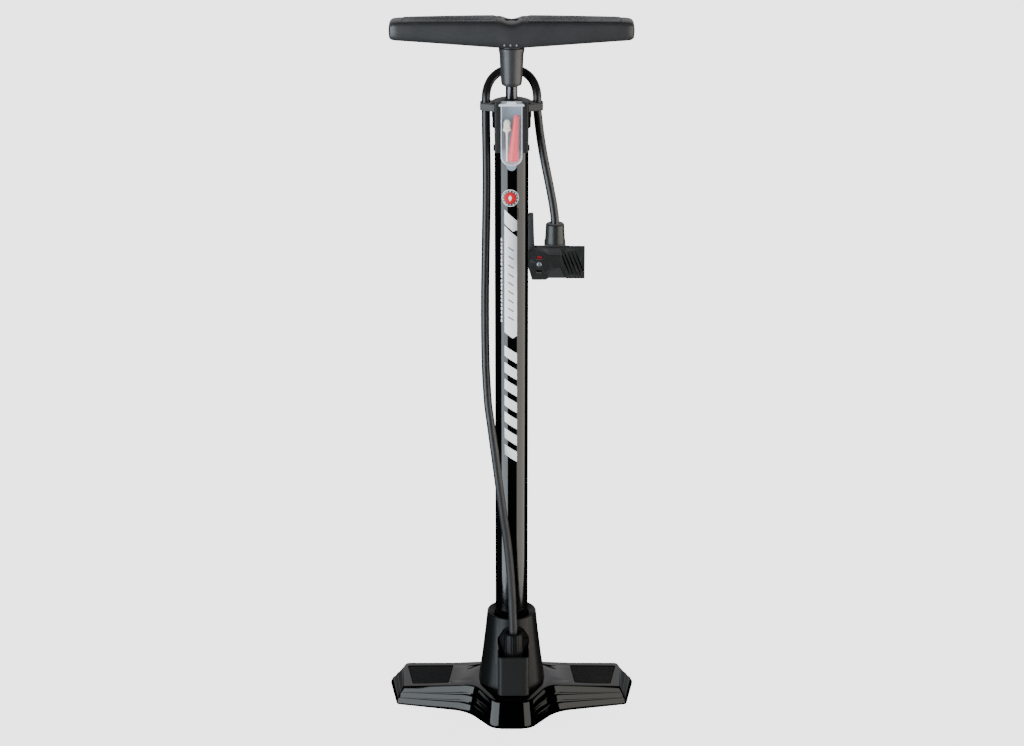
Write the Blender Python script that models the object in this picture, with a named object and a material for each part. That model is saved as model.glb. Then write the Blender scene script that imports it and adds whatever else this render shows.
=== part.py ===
"""Floor bike pump: a steel barrel on a winged base, a T-handle plunger, a hose that loops over the
cap to a lever-lock valve head, and a clear tray of adapters on the barrel.

Metres, +Z up, the front faces -Y. The origin is on the floor on the barrel's axis.
"""

import math

import bmesh
import bpy
from mathutils import Matrix, Vector, geometry

GAP = 0.0003  # between pieces that touch

# Barrel, plunger rod and the heights that everything else hangs on
BARREL_R = 0.0159
BARREL_BORE = 0.0143
BARREL_FOOT = 0.0503
BARREL_TOP = 0.6035
ROD_R = 0.0055
ROD_STUD_R = 0.0030
HUB_TOP = 0.0340
COLLAR_TOP = 0.1081
HANDLE_TOP = 0.7030

# Base plate
FOOT_H = 0.0030
HUB_R = 0.0360
ARM_ROOT_X = 0.0470
ARM_ROOT_Z = 0.0300
ARM_SLOPE = 0.119

# Hose and its way out at the front of the collar
HOSE_R = 0.0040
OUTLET_X = 0.0018
OUTLET_Y = -0.0302
OUTLET_PORT_Z = 0.0430
HOSE_START_Z = 0.0763
CLIP_X = 0.0238
CLIP_Z = (0.6180, 0.6245)

# Valve head, hung in front of the barrel's centre plane
HEAD_Y = -0.0260
HEAD_DEPTH = 0.0215
PIN_X, PIN_Z, PIN_R = 0.0257, 0.4782, 0.0023
SLOT_W = 0.0106
SLEEVE_X = 0.0405
SLEEVE_Z = (0.4966, 0.5188)
HOSE_END_Z = 0.5060
CHUCK_Z = 0.4800

# Accessory tray on the front of the barrel
TRAY_FRONT = -0.0335
TRAY_BACK = -0.0208
TRAY_HALF_W = 0.0098
TRAY_Z = (0.5723, 0.6305)
TRAY_WALL = 0.0011
TONGUE_R = 0.0047
TRAY_HINGE = (-0.0268, 0.6290)
EAR_R = 0.0011


# ---------------------------------------------------------------- scene and materials

for old in list(bpy.data.objects):
    bpy.data.objects.remove(old, do_unlink=True)


def finish(name, colour, roughness, metallic=0.0, alpha=1.0):
    """A material made once for each piece."""
    material = bpy.data.materials.new(name)
    material.use_nodes = True
    shader = material.node_tree.nodes["Principled BSDF"]
    shader.inputs["Base Color"].default_value = (*colour, 1.0)
    shader.inputs["Roughness"].default_value = roughness
    shader.inputs["Metallic"].default_value = metallic
    shader.inputs["Alpha"].default_value = alpha
    return material


GLOSS_BLACK = ((0.006, 0.006, 0.007), 0.08)
MATTE_BLACK = ((0.020, 0.020, 0.022), 0.55)
RUBBER_BLACK = ((0.013, 0.013, 0.014), 0.75)
STEEL = ((0.55, 0.56, 0.58), 0.25, 1.0)
BRASS = ((0.72, 0.55, 0.25), 0.30, 1.0)
RED_PLASTIC = ((0.60, 0.02, 0.03), 0.40)
CREAM_PLASTIC = ((0.80, 0.76, 0.62), 0.45)
CLEAR_PLASTIC = ((0.85, 0.88, 0.92), 0.12, 0.0, 0.35)


# ---------------------------------------------------------------- shape helpers


def piece(name, bm, look, smooth=True):
    """The finished object for one node."""
    bmesh.ops.recalc_face_normals(bm, faces=bm.faces)
    mesh = bpy.data.meshes.new(name)
    bm.to_mesh(mesh)
    bm.free()
    if smooth:
        mesh.shade_smooth()
        mesh.set_sharp_from_angle(angle=math.radians(35))
    obj = bpy.data.objects.new(name, mesh)
    bpy.context.scene.collection.objects.link(obj)
    if look:
        mesh.materials.append(finish(name, *look))
    else:
        obj.hide_render = True
        obj.display_type = "WIRE"
    return obj


def apply_boolean(obj, other, operation):
    modifier = obj.modifiers.new(operation.title() + "_" + other.name, "BOOLEAN")
    modifier.operation = operation
    modifier.object = other
    modifier.solver = "EXACT"


def cut(obj, *cutters):
    for cutter in cutters:
        apply_boolean(obj, cutter, "DIFFERENCE")
    return obj


def join(obj, *others):
    for other in others:
        apply_boolean(obj, other, "UNION")
    return obj


def turned(name, profile, look=None, steps=24, at=(0.0, 0.0, 0.0), axis="Z"):
    """A profile of (radius, height) turned about an axis. It closes on itself, or on the axis
    where its ends have radius 0."""
    bm = bmesh.new()
    verts = [bm.verts.new((radius, 0.0, height)) for radius, height in profile]
    edges = [bm.edges.new(pair) for pair in zip(verts, verts[1:])]
    if profile[0][0] > 0.0:
        edges.append(bm.edges.new((verts[-1], verts[0])))
    around = {"geom": verts + edges, "axis": (0, 0, 1), "cent": (0, 0, 0)}
    bmesh.ops.spin(bm, **around, angle=math.tau, steps=steps, use_merge=True)
    bmesh.ops.remove_doubles(bm, verts=bm.verts, dist=1e-6)
    if axis != "Z":
        bmesh.ops.transform(bm, matrix=turn_from_z(axis), verts=bm.verts)
    obj = piece(name, bm, look)
    obj.location = at
    return obj


def turn_from_z(axis):
    """The rotation that turns +Z into +X or +Y."""
    target = Vector((1, 0, 0)) if axis == "X" else Vector((0, 1, 0))
    return Vector((0, 0, 1)).rotation_difference(target).to_matrix().to_4x4()


def rod_profile(radius, low, high):
    return [(0.0, high), (radius, high), (radius, low), (0.0, low)]


def ring_profile(inner, outer, low, high):
    return [(inner, high), (outer, high), (outer, low), (inner, low)]


def rounded(corners, steps=4):
    """A closed outline: each corner is (x, y, radius), and an arc of that radius replaces it."""
    points = []
    count = len(corners)
    for i, (x, y, radius) in enumerate(corners):
        here = Vector((x, y))
        before = (Vector(corners[i - 1][:2]) - here).normalized()
        after = (Vector(corners[(i + 1) % count][:2]) - here).normalized()
        if radius == 0.0:
            points.append(here)
            continue
        half = before.angle(after) / 2
        middle = here + (before + after).normalized() * (radius / math.sin(half))
        start = here + before * (radius / math.tan(half)) - middle
        turn = start.angle_signed(here + after * (radius / math.tan(half)) - middle)
        for k in range(steps + 1):
            arm = start.copy()
            arm.rotate(Matrix.Rotation(-turn * k / steps, 2))
            points.append(middle + arm)
    return [(p.x, p.y) for p in points]


def loft(name, rings, look=None, smooth=True):
    """Rings of equally many points, joined in order, with a cap on the first and the last."""
    bm = bmesh.new()
    rows = [[bm.verts.new(point) for point in ring] for ring in rings]
    for low, high in zip(rows, rows[1:]):
        for i in range(len(low)):
            j = (i + 1) % len(low)
            bm.faces.new((low[i], low[j], high[j], high[i]))
    bm.faces.new(reversed(rows[0]))
    bm.faces.new(rows[-1])
    return piece(name, bm, look, smooth)


def prism(name, outline, low, high, look=None, axis="Z", smooth=True):
    """An outline extruded from low to high along an axis."""
    place = {
        "X": lambda u, v, w: (w, u, v),
        "Y": lambda u, v, w: (u, w, v),
        "Z": lambda u, v, w: (u, v, w),
    }[axis]
    rings = [[place(u, v, w) for u, v in outline] for w in (low, high)]
    return loft(name, rings, look, smooth)


def box(name, x, y, z, look=None):
    outline = [(x[0], y[0]), (x[1], y[0]), (x[1], y[1]), (x[0], y[1])]
    return prism(name, outline, z[0], z[1], look, smooth=False)


def smooth_path(points, spacing):
    """Points a steady distance apart on a Bezier-smooth curve through the given ones."""
    knots = [Vector(p) for p in points]
    fine = []
    for i in range(len(knots) - 1):
        a, b = knots[i], knots[i + 1]
        before = knots[max(i - 1, 0)]
        after = knots[min(i + 2, len(knots) - 1)]
        reach = (b - a).length / 3
        leave = (b - before).normalized() * reach
        arrive = (after - a).normalized() * reach
        fine += geometry.interpolate_bezier(a, a + leave, b - arrive, b, 13)[:-1]
    fine.append(knots[-1])
    length = sum((q - p).length for p, q in zip(fine, fine[1:]))
    count = max(2, round(length / spacing))
    path, walked, wanted = [fine[0]], 0.0, length / count
    for p, q in zip(fine, fine[1:]):
        step = (q - p).length
        while walked + step >= wanted and len(path) < count:
            path.append(p.lerp(q, (wanted - walked) / step))
            wanted += length / count
        walked += step
    return path + [fine[-1]]


def tube(name, path, radius, look, sides=2):
    """A solid round tube: a curve with a round bevel and filled caps."""
    data = bpy.data.curves.new(name, "CURVE")
    data.dimensions = "3D"
    data.bevel_depth = radius
    data.bevel_resolution = sides
    data.use_fill_caps = True
    spline = data.splines.new("POLY")
    spline.points.add(len(path) - 1)
    for point, where in zip(spline.points, path):
        point.co = (*where, 1.0)
    data.materials.append(finish(name, *look))
    obj = bpy.data.objects.new(name, data)
    bpy.context.scene.collection.objects.link(obj)
    return obj


def hollow_tube(name, path, outer, inner, look, sides=10):
    """A pipe along a path in a plane of constant x, open at both ends."""
    bm = bmesh.new()
    walls = []
    for radius in (outer, inner):
        rows = []
        for i, here in enumerate(path):
            ahead = path[min(i + 1, len(path) - 1)] - path[max(i - 1, 0)]
            along = ahead.normalized()
            side = Vector((1, 0, 0))
            up = along.cross(side)
            ring = []
            for k in range(sides):
                turn = math.tau * k / sides
                ring.append(bm.verts.new(here + (side * math.cos(turn) + up * math.sin(turn)) * radius))
            rows.append(ring)
        for low, high in zip(rows, rows[1:]):
            for k in range(sides):
                bm.faces.new((low[k], low[(k + 1) % sides], high[(k + 1) % sides], high[k]))
        walls.append(rows)
    for end in (0, -1):
        for k in range(sides):
            j = (k + 1) % sides
            bm.faces.new((walls[0][end][k], walls[0][end][j], walls[1][end][j], walls[1][end][k]))
    return piece(name, bm, look)


# ---------------------------------------------------------------- base

# Half outlines in plan, from the front centre round to the back centre: lobe corner, crotch,
# arm's front corner, its tip, its back corner, and two points along the back edge.
RIM_HALF = (
    (0.0185, -0.0540, 0.0080),
    (0.0450, -0.0172, 0.0160),
    (0.1160, -0.0014, 0.0040),
    (0.1245, 0.0480, 0.0050),
    (0.1130, 0.0545, 0.0050),
    (0.0610, 0.0435, 0.0300),
    (0.0220, 0.0365, 0.0300),
)
LIP_HALF = (
    (0.0170, -0.0502, 0.0070),
    (0.0430, -0.0152, 0.0160),
    (0.1082, 0.0000, 0.0020),
    (0.1100, 0.0420, 0.0030),
    (0.1082, 0.0530, 0.0030),
    (0.0605, 0.0417, 0.0300),
    (0.0218, 0.0347, 0.0300),
)
HOLLOW_HALF = (
    (0.0120, -0.0340, 0.0030),
    (0.0330, -0.0150, 0.0060),
    (0.0960, 0.0030, 0.0020),
    (0.0970, 0.0380, 0.0030),
    (0.0950, 0.0450, 0.0030),
    (0.0600, 0.0380, 0.0200),
    (0.0215, 0.0320, 0.0200),
)
CREASE_Z = 0.0120
BASE_WALL = 0.0035
BOSS_R, BOSS_Z = 0.0210, 0.0060
SCREW_X, SCREW_R, SCREW_HEAD_R = 0.0262, 0.0018, 0.0034

# Grip pads: an inset trapezoid on each arm, wide side at the back
PAD_CORNERS = ((0.0995, 0.0040), (0.0640, -0.0040), (0.0600, 0.0350), (0.1060, 0.0455))
PAD_DEPTH = 0.0016


def mirrored(half):
    """A closed outline from its +x half, listed from front to back."""
    back = [(-x, y, radius) for x, y, radius in reversed(half)]
    return [(0.0, half[0][1], 0.0), *half, (0.0, half[-1][1], 0.0), *back]


def base_top(x, y):
    """Height of the base's top surface: arms that fall away from a raised round hub."""
    arm = ARM_ROOT_Z - ARM_SLOPE * max(0.0, abs(x) - ARM_ROOT_X)
    share = min(1.0, max(0.0, (0.0500 - math.hypot(x, y)) / 0.0140))
    return arm + (HUB_TOP - arm) * share * share * (3 - 2 * share)


def between(ring, other, share):
    return [tuple(a + (b - a) * share for a, b in zip(p, q)) for p, q in zip(ring, other)]


def circle_under(outline, radius):
    """A circle whose points lie on the same rays from the axis as the outline's."""
    scale = [radius / math.hypot(x, y) for x, y in outline]
    return [(x * s, y * s) for (x, y), s in zip(outline, scale)]


def at_height(outline, height):
    return [(x, y, height) for x, y in outline]


def on_top(outline, drop=0.0):
    return [(x, y, base_top(x, y) - drop) for x, y in outline]


def pad_outline(side, grow):
    """The pad's trapezoid, grown outward from its centre by about grow."""
    cx = sum(x for x, _ in PAD_CORNERS) / 4
    cy = sum(y for _, y in PAD_CORNERS) / 4
    corners = []
    for x, y in PAD_CORNERS:
        away = Vector((x - cx, y - cy))
        moved = Vector((x, y)) + away.normalized() * grow * 1.4
        corners.append((side * moved.x, moved.y, 0.0018))
    return rounded(corners, 3)


def make_base():
    rim, lip, hollow = (rounded(mirrored(half), 2) for half in (RIM_HALF, LIP_HALF, HOLLOW_HALF))
    hub = circle_under(rim, HUB_R)
    boss = circle_under(rim, BOSS_R)
    rings = [at_height(circle_under(rim, 0.004), HUB_TOP), at_height(hub, HUB_TOP)]
    rings += [on_top(between(hub, lip, share)) for share in (0.12, 0.3, 0.6, 0.96)]
    rings += [on_top(between(lip, rim, 0.15), 0.0008), at_height(between(lip, rim, 0.75), CREASE_Z)]
    rings += [at_height(rim, CREASE_Z - 0.0060), at_height(rim, FOOT_H)]
    ceiling = on_top(hollow, BASE_WALL)
    rings += [at_height(hollow, FOOT_H), ceiling]
    rings += [on_top(between(hollow, boss, share), BASE_WALL) for share in (0.5, 0.9)]
    rings += [at_height(boss, HUB_TOP - BASE_WALL), at_height(boss, BOSS_Z)]
    rings += [at_height(circle_under(rim, 0.003), BOSS_Z)]
    base = loft("base_casting", rings, GLOSS_BLACK)
    for side, word in ((-1, "left"), (1, "right")):
        outline = pad_outline(side, GAP)
        pocket = [on_top(outline, PAD_DEPTH), on_top(outline, -0.0060)]
        cut(base, loft("cut_pad_pocket_" + word, pocket))
        pad = pad_outline(side, 0.0)
        loft("grip_pad_" + word, [on_top(pad, PAD_DEPTH - GAP), on_top(pad)], RUBBER_BLACK)
        at = (side * SCREW_X, 0, 0)
        hole = rod_profile(SCREW_R + GAP, 0.0200, 0.0400)
        cut(base, turned("cut_base_screw_" + word, hole, at=at))
        screw = [
            (0.0, 0.0500),
            (SCREW_R, 0.0500),
            (SCREW_R, 0.0290),
            (SCREW_HEAD_R, 0.0276),
            (SCREW_HEAD_R, 0.0260),
            (0.0, 0.0260),
        ]
        turned("base_screw_" + word, screw, STEEL, steps=16, at=at)


def make_feet():
    arm = ((0.1010, 0.0070), (0.1110, 0.0070), (0.1150, 0.0470), (0.1010, 0.0440))
    plans = {
        "left": ([(-x, y) for x, y in arm], FOOT_H),
        "right": (arm, FOOT_H),
        "front": (((-0.013, -0.049), (0.013, -0.049), (0.013, -0.038), (-0.013, -0.038)), FOOT_H),
        "centre": (((-0.014, -0.006), (0.014, -0.006), (0.014, 0.012), (-0.014, 0.012)), BOSS_Z),
    }
    for word, (corners, top) in plans.items():
        outline = rounded([(x, y, 0.003) for x, y in corners], 3)
        prism("foot_" + word, outline, 0.0, top - GAP, RUBBER_BLACK)


# ---------------------------------------------------------------- collar, valve and outlet

COLLAR_BORE = 0.0170
BLOCK_HALF_W = 0.0149
BLOCK_FRONT = -0.0440
BLOCK_TOP = 0.0750
BLOCK_WALL = 0.0030
RECESS_FLOOR = 0.0690
NUT_R = 0.0097


def arch(half_width, low, spring, top, steps=8):
    """An outline with a flat bottom, upright sides and a half-ellipse on top, centred on the outlet."""
    points = [(OUTLET_X - half_width, low), (OUTLET_X + half_width, low)]
    for k in range(steps + 1):
        turn = math.pi * k / steps
        x = OUTLET_X + half_width * math.cos(turn)
        points.append((x, spring + (top - spring) * math.sin(turn)))
    return points


def make_collar():
    low = HUB_TOP + GAP
    profile = [
        (COLLAR_BORE, low),
        (COLLAR_BORE, COLLAR_TOP - 0.0026),
        (0.0178, COLLAR_TOP - 0.0022),
        (0.0226, COLLAR_TOP),
        (0.0236, COLLAR_TOP - 0.0004),
        (0.0241, COLLAR_TOP - 0.0020),
        (0.0262, 0.0870),
        (0.0294, 0.0600),
        (0.0322, 0.0400),
        (0.0328, low + 0.0010),
        (0.0328, low),
    ]
    collar = turned("base_collar", profile, MATTE_BLACK, steps=32)
    x0, x1 = OUTLET_X - BLOCK_HALF_W, OUTLET_X + BLOCK_HALF_W
    outline = rounded(
        [(x0, -0.0180, 0), (x0, BLOCK_FRONT, 0.0080), (x1, BLOCK_FRONT, 0.0080), (x1, -0.0180, 0)], 4
    )
    block = prism("join_front_block", outline, low, BLOCK_TOP)
    recess = prism("cut_recess", arch(0.0155, RECESS_FLOOR, 0.0810, 0.1000), -0.0412, -0.0200, axis="Y")
    inner = BLOCK_HALF_W - BLOCK_WALL
    chamber = box(
        "cut_block_chamber",
        (OUTLET_X - inner, OUTLET_X + inner),
        (BLOCK_FRONT + BLOCK_WALL, -0.0120),
        (low - 0.002, RECESS_FLOOR - BLOCK_WALL),
    )
    spout = rod_profile(0.0040, 0.0600, 0.0720)
    spout = turned("cut_spout", spout, at=(OUTLET_X, OUTLET_Y, 0), steps=16)
    bore = turned("cut_collar_bore", rod_profile(COLLAR_BORE, low - 0.002, 0.0700), steps=32)
    join(collar, block)
    cut(collar, recess, chamber, spout, bore)
    for side, word in ((-1, "left"), (1, "right")):
        hole = rod_profile(SCREW_R + GAP, 0.0300, 0.0520)
        cut(collar, turned("cut_collar_screw_" + word, hole, at=(side * SCREW_X, 0, 0)))


VALVE_SPIGOT_R = 0.0139
VALVE_TOP = 0.0680
CHAMBER_R = 0.0050
CHAMBER_FLOOR = 0.0390
POPPET_TOP = 0.0600
O_RING_Z = 0.0600


def make_valve():
    low = HUB_TOP + GAP
    flange_top = BARREL_FOOT - GAP
    profile = [
        (0.0, CHAMBER_FLOOR),
        (CHAMBER_R, CHAMBER_FLOOR),
        (CHAMBER_R, VALVE_TOP),
        (VALVE_SPIGOT_R, VALVE_TOP),
        (VALVE_SPIGOT_R, O_RING_Z + 0.0013),
        (VALVE_SPIGOT_R - 0.0020, O_RING_Z + 0.0013),
        (VALVE_SPIGOT_R - 0.0020, O_RING_Z - 0.0013),
        (VALVE_SPIGOT_R, O_RING_Z - 0.0013),
        (VALVE_SPIGOT_R, flange_top),
        (BARREL_R, flange_top),
        (BARREL_R, low),
        (0.0, low),
    ]
    body = turned("valve_body", profile, MATTE_BLACK)
    port = rod_profile(0.0015, -0.0200, -0.0010)
    cut(body, turned("cut_valve_port", port, steps=16, at=(OUTLET_X, 0.0, OUTLET_PORT_Z), axis="Y"))
    ring_r, ring_middle = 0.0010, VALVE_SPIGOT_R - 0.0007
    section = []
    for k in range(6):
        turn = math.tau * k / 6
        section.append((ring_middle + ring_r * math.cos(turn), O_RING_Z + ring_r * math.sin(turn)))
    turned("valve_o_ring", section, RUBBER_BLACK)
    turned("valve_seat", ring_profile(0.0024, CHAMBER_R - GAP, POPPET_TOP + GAP, 0.0670), BRASS)
    poppet = [
        (0.0, POPPET_TOP),
        (0.0038, POPPET_TOP),
        (0.0038, 0.0575),
        (0.0014, 0.0570),
        (0.0014, 0.0500),
        (0.0, 0.0500),
    ]
    turned("check_poppet", poppet, RED_PLASTIC)
    spring = [
        Vector((0.0027 * math.cos(k * math.tau / 8), 0.0027 * math.sin(k * math.tau / 8), z))
        for k, z in spring_turns(0.0400, 0.0566, 4, 8)
    ]
    tube("check_spring", spring, 0.0004, STEEL, sides=0)


def spring_turns(low, high, turns, steps):
    """(step, height) along an even helix."""
    last = turns * steps
    return [(k, low + (high - low) * k / last) for k in range(last + 1)]


def make_outlet():
    bend = 0.0070
    path = [Vector((OUTLET_X, -BARREL_R - GAP, OUTLET_PORT_Z))]
    for k in range(5):
        turn = math.pi / 2 * k / 4
        y = OUTLET_Y + bend - bend * math.sin(turn)
        path.append(Vector((OUTLET_X, y, OUTLET_PORT_Z + bend - bend * math.cos(turn))))
    path.append(Vector((OUTLET_X, OUTLET_Y, HOSE_START_Z - GAP)))
    hollow_tube("outlet_elbow", path, 0.0032, 0.0015, BRASS)
    nut_low, nut_top = RECESS_FLOOR + GAP, 0.0968
    profile = [
        (0.0044, nut_low),
        (0.0044, nut_top),
        (NUT_R - 0.0012, nut_top),
        (NUT_R - 0.0004, nut_top - 0.0008),
        (NUT_R, nut_low + 0.0060),
        (NUT_R - 0.0012, nut_low + 0.0015),
        (NUT_R - 0.0030, nut_low),
    ]
    turned("hose_nut", profile, MATTE_BLACK, at=(OUTLET_X, OUTLET_Y, 0))


# ---------------------------------------------------------------- barrel and cap

BUSH_R = 0.0075
CAP_RIM_Z = 0.6170


def make_barrel():
    wall = ring_profile(BARREL_BORE, BARREL_R, BARREL_FOOT, BARREL_TOP)
    turned("barrel", wall, GLOSS_BLACK, steps=32)
    profile = [
        (BARREL_R + GAP, 0.6014),
        (0.0180, 0.6014),
        (0.0180, CAP_RIM_Z),
        (0.0196, CAP_RIM_Z + 0.0015),
        (0.0198, 0.6250),
        (0.0190, 0.6270),
        (0.0140, 0.6292),
        (BUSH_R + GAP + 0.0010, 0.6304),
        (BUSH_R + GAP, 0.6304),
        (BUSH_R + GAP, 0.6045),
        (BARREL_R + GAP, 0.6045),
    ]
    cap = turned("top_cap", profile, MATTE_BLACK, steps=32)
    for side, word in ((-1, "left"), (1, "right")):
        root, tip = side * 0.0150, side * 0.0293
        outline = [(root, -0.0085, 0), (tip, -0.0068, 0.0045), (tip, 0.0068, 0.0045), (root, 0.0085, 0)]
        join(cap, prism("join_clip_" + word, rounded(outline, 3), *CLIP_Z))
        hole = rod_profile(HOSE_R + 0.0007, 0.6100, 0.6400)
        cut(cap, turned("cut_clip_" + word, hole, at=(side * CLIP_X, 0, 0), steps=16))
    turned("rod_guide_bush", ring_profile(ROD_R + 0.0002, BUSH_R, 0.6048, 0.6316), MATTE_BLACK)
    turned("stroke_bumper", ring_profile(ROD_R + 0.0010, 0.0138, 0.5950, 0.6042), RUBBER_BLACK)


# ---------------------------------------------------------------- accessory bracket and tray


def make_bracket():
    plate_back, plate_front, rail_front = -0.0183, -0.0202, -0.0312
    low, high = 0.5840, 0.6318
    rail_in, rail_out = TRAY_HALF_W + GAP, 0.0153
    outline = [
        (-rail_out, plate_back),
        (-rail_out, rail_front),
        (-rail_in, rail_front),
        (-rail_in, plate_front),
        (rail_in, plate_front),
        (rail_in, rail_front),
        (rail_out, rail_front),
        (rail_out, plate_back),
    ]
    bracket = prism("accessory_bracket", outline[::-1], low, high, MATTE_BLACK, smooth=False)
    for side, word in ((-1, "left"), (1, "right")):
        x = sorted((side * 0.0150, side * 0.0166))
        join(bracket, box("join_snap_" + word, x, (-0.0240, -0.0120), (low, low + 0.0045)))
    cap_room = box(
        "cut_cap_room",
        (-rail_in, rail_in),
        (plate_front - 0.001, plate_back + 0.001),
        (CAP_RIM_Z - 0.001, high + 0.001),
    )
    hole = rod_profile(EAR_R + 0.0004, -0.0200, 0.0200)
    cut(bracket, cap_room, turned("cut_hinge", hole, at=(0, *TRAY_HINGE), axis="X", steps=16))


def tray_outline(inset):
    half, (low, high) = TRAY_HALF_W - inset, TRAY_Z
    low, high = low + inset, high - inset
    big, small = 0.0085 - inset, 0.0012
    return rounded([(-half, low, big), (half, low, big), (half, high, small), (-half, high, small)], 6)


def make_tray():
    low, high = TRAY_Z
    tray = prism("accessory_tray", tray_outline(0.0), TRAY_FRONT, TRAY_BACK, CLEAR_PLASTIC, axis="Y")
    depth = (TRAY_FRONT + TRAY_WALL, TRAY_BACK + 0.0020)
    cut(tray, prism("cut_tray", tray_outline(TRAY_WALL), *depth, axis="Y"))
    tab_y = (TRAY_FRONT, TRAY_FRONT + 0.0016)
    tab = box("join_tray_tab", (-0.0043, 0.0043), tab_y, (high - 0.0005, high + 0.0021))
    outline = [(TONGUE_R, low + 0.0004), (-TONGUE_R, low + 0.0004)]
    for k in range(9):
        turn = math.pi * k / 8
        outline.append((-TONGUE_R * math.cos(turn), low - TONGUE_R * math.sin(turn)))
    tongue = prism("join_tray_tongue", outline, TRAY_FRONT + 0.0003, TRAY_FRONT + 0.0016, axis="Y")
    join(tray, tab, tongue)
    for side, word in ((-1, "left"), (1, "right")):
        ear = rod_profile(EAR_R, *sorted((side * 0.0094, side * 0.0124)))
        join(tray, turned("join_ear_" + word, ear, at=(0, *TRAY_HINGE), axis="X", steps=16))


def make_adapters():
    needle = [
        (0.0, 0.6145),
        (0.0026, 0.6145),
        (0.0030, 0.6138),
        (0.0030, 0.6066),
        (0.0036, 0.6066),
        (0.0036, 0.6046),
        (0.0009, 0.6030),
        (0.0008, 0.5756),
        (0.0, 0.5752),
    ]
    turned("ball_needle", needle, CREAM_PLASTIC, steps=16, at=(-0.0043, -0.0284, 0))
    low = 0.5758
    cone = [(0.0, 0.6190), (0.0020, 0.6190), (0.0024, 0.6180), (0.0043, low), (0.0, low)]
    obj = turned("inflation_cone", cone, RED_PLASTIC)
    lean = Vector((0.0034, 0.0, 0.0445)).normalized()
    obj.rotation_mode = "QUATERNION"
    obj.rotation_quaternion = Vector((0, 0, 1)).rotation_difference(lean)
    foot = Vector((0.0009, -0.0262, low))
    obj.location = foot - obj.rotation_quaternion @ Vector((0, 0, low))


# ---------------------------------------------------------------- plunger and handle

PISTON = (0.0748, 0.0868)
CUP = (0.0871, 0.0971)
WASHER_TOP = 0.0994
ROD_SHOULDER = WASHER_TOP + GAP
ROD_TOP = 0.6800
ROD_BORE = 0.0042
NUT_CORNER_R = 0.0052


def make_plunger():
    hole = ROD_STUD_R + 0.0004
    low, high = PISTON
    piston = [(hole, high), (0.0128, high), (0.0138, high - 0.0020), (0.0138, low), (hole, low)]
    turned("piston_head", piston, MATTE_BLACK)
    cup = [
        (hole, CUP[0] + 0.0030),
        (0.0110, CUP[0] + 0.0030),
        (0.0126, CUP[1]),
        (0.0141, CUP[1]),
        (0.0136, CUP[0]),
        (hole, CUP[0]),
    ]
    turned("piston_cup", cup[::-1], RUBBER_BLACK)
    turned("piston_washer", ring_profile(hole, 0.0105, CUP[0] + 0.0033, WASHER_TOP), STEEL)
    rod = [
        (0.0, ROD_SHOULDER + 0.0100),
        (ROD_BORE, ROD_SHOULDER + 0.0100),
        (ROD_BORE, ROD_TOP),
        (ROD_R, ROD_TOP),
        (ROD_R, ROD_SHOULDER),
        (ROD_STUD_R, ROD_SHOULDER),
        (ROD_STUD_R, 0.0700),
        (0.0, 0.0700),
    ]
    turned("rod", rod, STEEL)
    corners = [math.pi / 3 * k for k in range(6)]
    hexagon = [(NUT_CORNER_R * math.cos(turn), NUT_CORNER_R * math.sin(turn)) for turn in corners]
    nut = prism("piston_nut", hexagon, 0.0705, PISTON[0] - GAP, STEEL, smooth=False)
    cut(nut, turned("cut_nut", rod_profile(ROD_STUD_R + GAP, 0.0690, 0.0760)))


# Handle stations: distance from the axis, half depth, top and bottom height
HANDLE_STATIONS = (
    (0.0000, 0.0172, 0.7008, 0.6755),
    (0.0060, 0.0172, 0.7012, 0.6755),
    (0.0105, 0.0170, HANDLE_TOP, 0.6757),
    (0.0300, 0.0160, 0.7030, 0.6771),
    (0.0600, 0.0146, 0.7025, 0.6794),
    (0.0900, 0.0132, 0.7017, 0.6816),
    (0.1060, 0.0126, 0.7012, 0.6827),
    (0.1098, 0.0115, 0.7000, 0.6838),
    (0.1117, 0.0095, 0.6975, 0.6862),
    (0.1123, 0.0065, 0.6945, 0.6890),
)
GRIP_INSIDE_X, GRIP_OUTSIDE_X = 0.0105, 0.1000
GRIP_DEPTH = 0.0014
SHANK_FOOT = 0.0655


def handle_section(half_depth, top, low, points=20, power=4.5):
    """A rounded, nearly square section, narrower towards its underside."""
    middle, half_height = (top + low) / 2, (top - low) / 2
    ring = []
    for k in range(points):
        turn = math.tau * (k + 0.5) / points
        c, s = math.cos(turn), math.sin(turn)
        size = (abs(c) ** power + abs(s) ** power) ** (-1 / power)
        narrow = 1.0 - 0.16 * max(0.0, -s * size)
        ring.append((half_depth * c * size * narrow, middle + half_height * s * size))
    return ring


def station_at(x):
    """Half depth, top and bottom at a distance from the axis."""
    for a, b in zip(HANDLE_STATIONS, HANDLE_STATIONS[1:]):
        if a[0] <= x <= b[0]:
            share = (x - a[0]) / (b[0] - a[0])
            return [p + (q - p) * share for p, q in zip(a[1:], b[1:])]
    return list(HANDLE_STATIONS[-1][1:])


def grip_outline(side, grow):
    """Plan of a grip: its inner end slants, and its sides follow the handle's taper."""
    inside, outside = GRIP_INSIDE_X - grow, GRIP_OUTSIDE_X + grow
    rows = []
    for share in (0.0, 0.25, 0.5, 0.75, 1.0):
        x = inside + 0.0060 + (outside - inside - 0.0060) * share
        rows.append((x, station_at(x)[0] * 0.80 + grow))
    front = [(side * x, -y) for x, y in rows]
    back = [(side * x, y) for x, y in rows]
    tip = [(side * inside, rows[0][1] * 0.45), (side * inside, -rows[0][1] * 0.45)]
    return tip + front + back[::-1]


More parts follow.
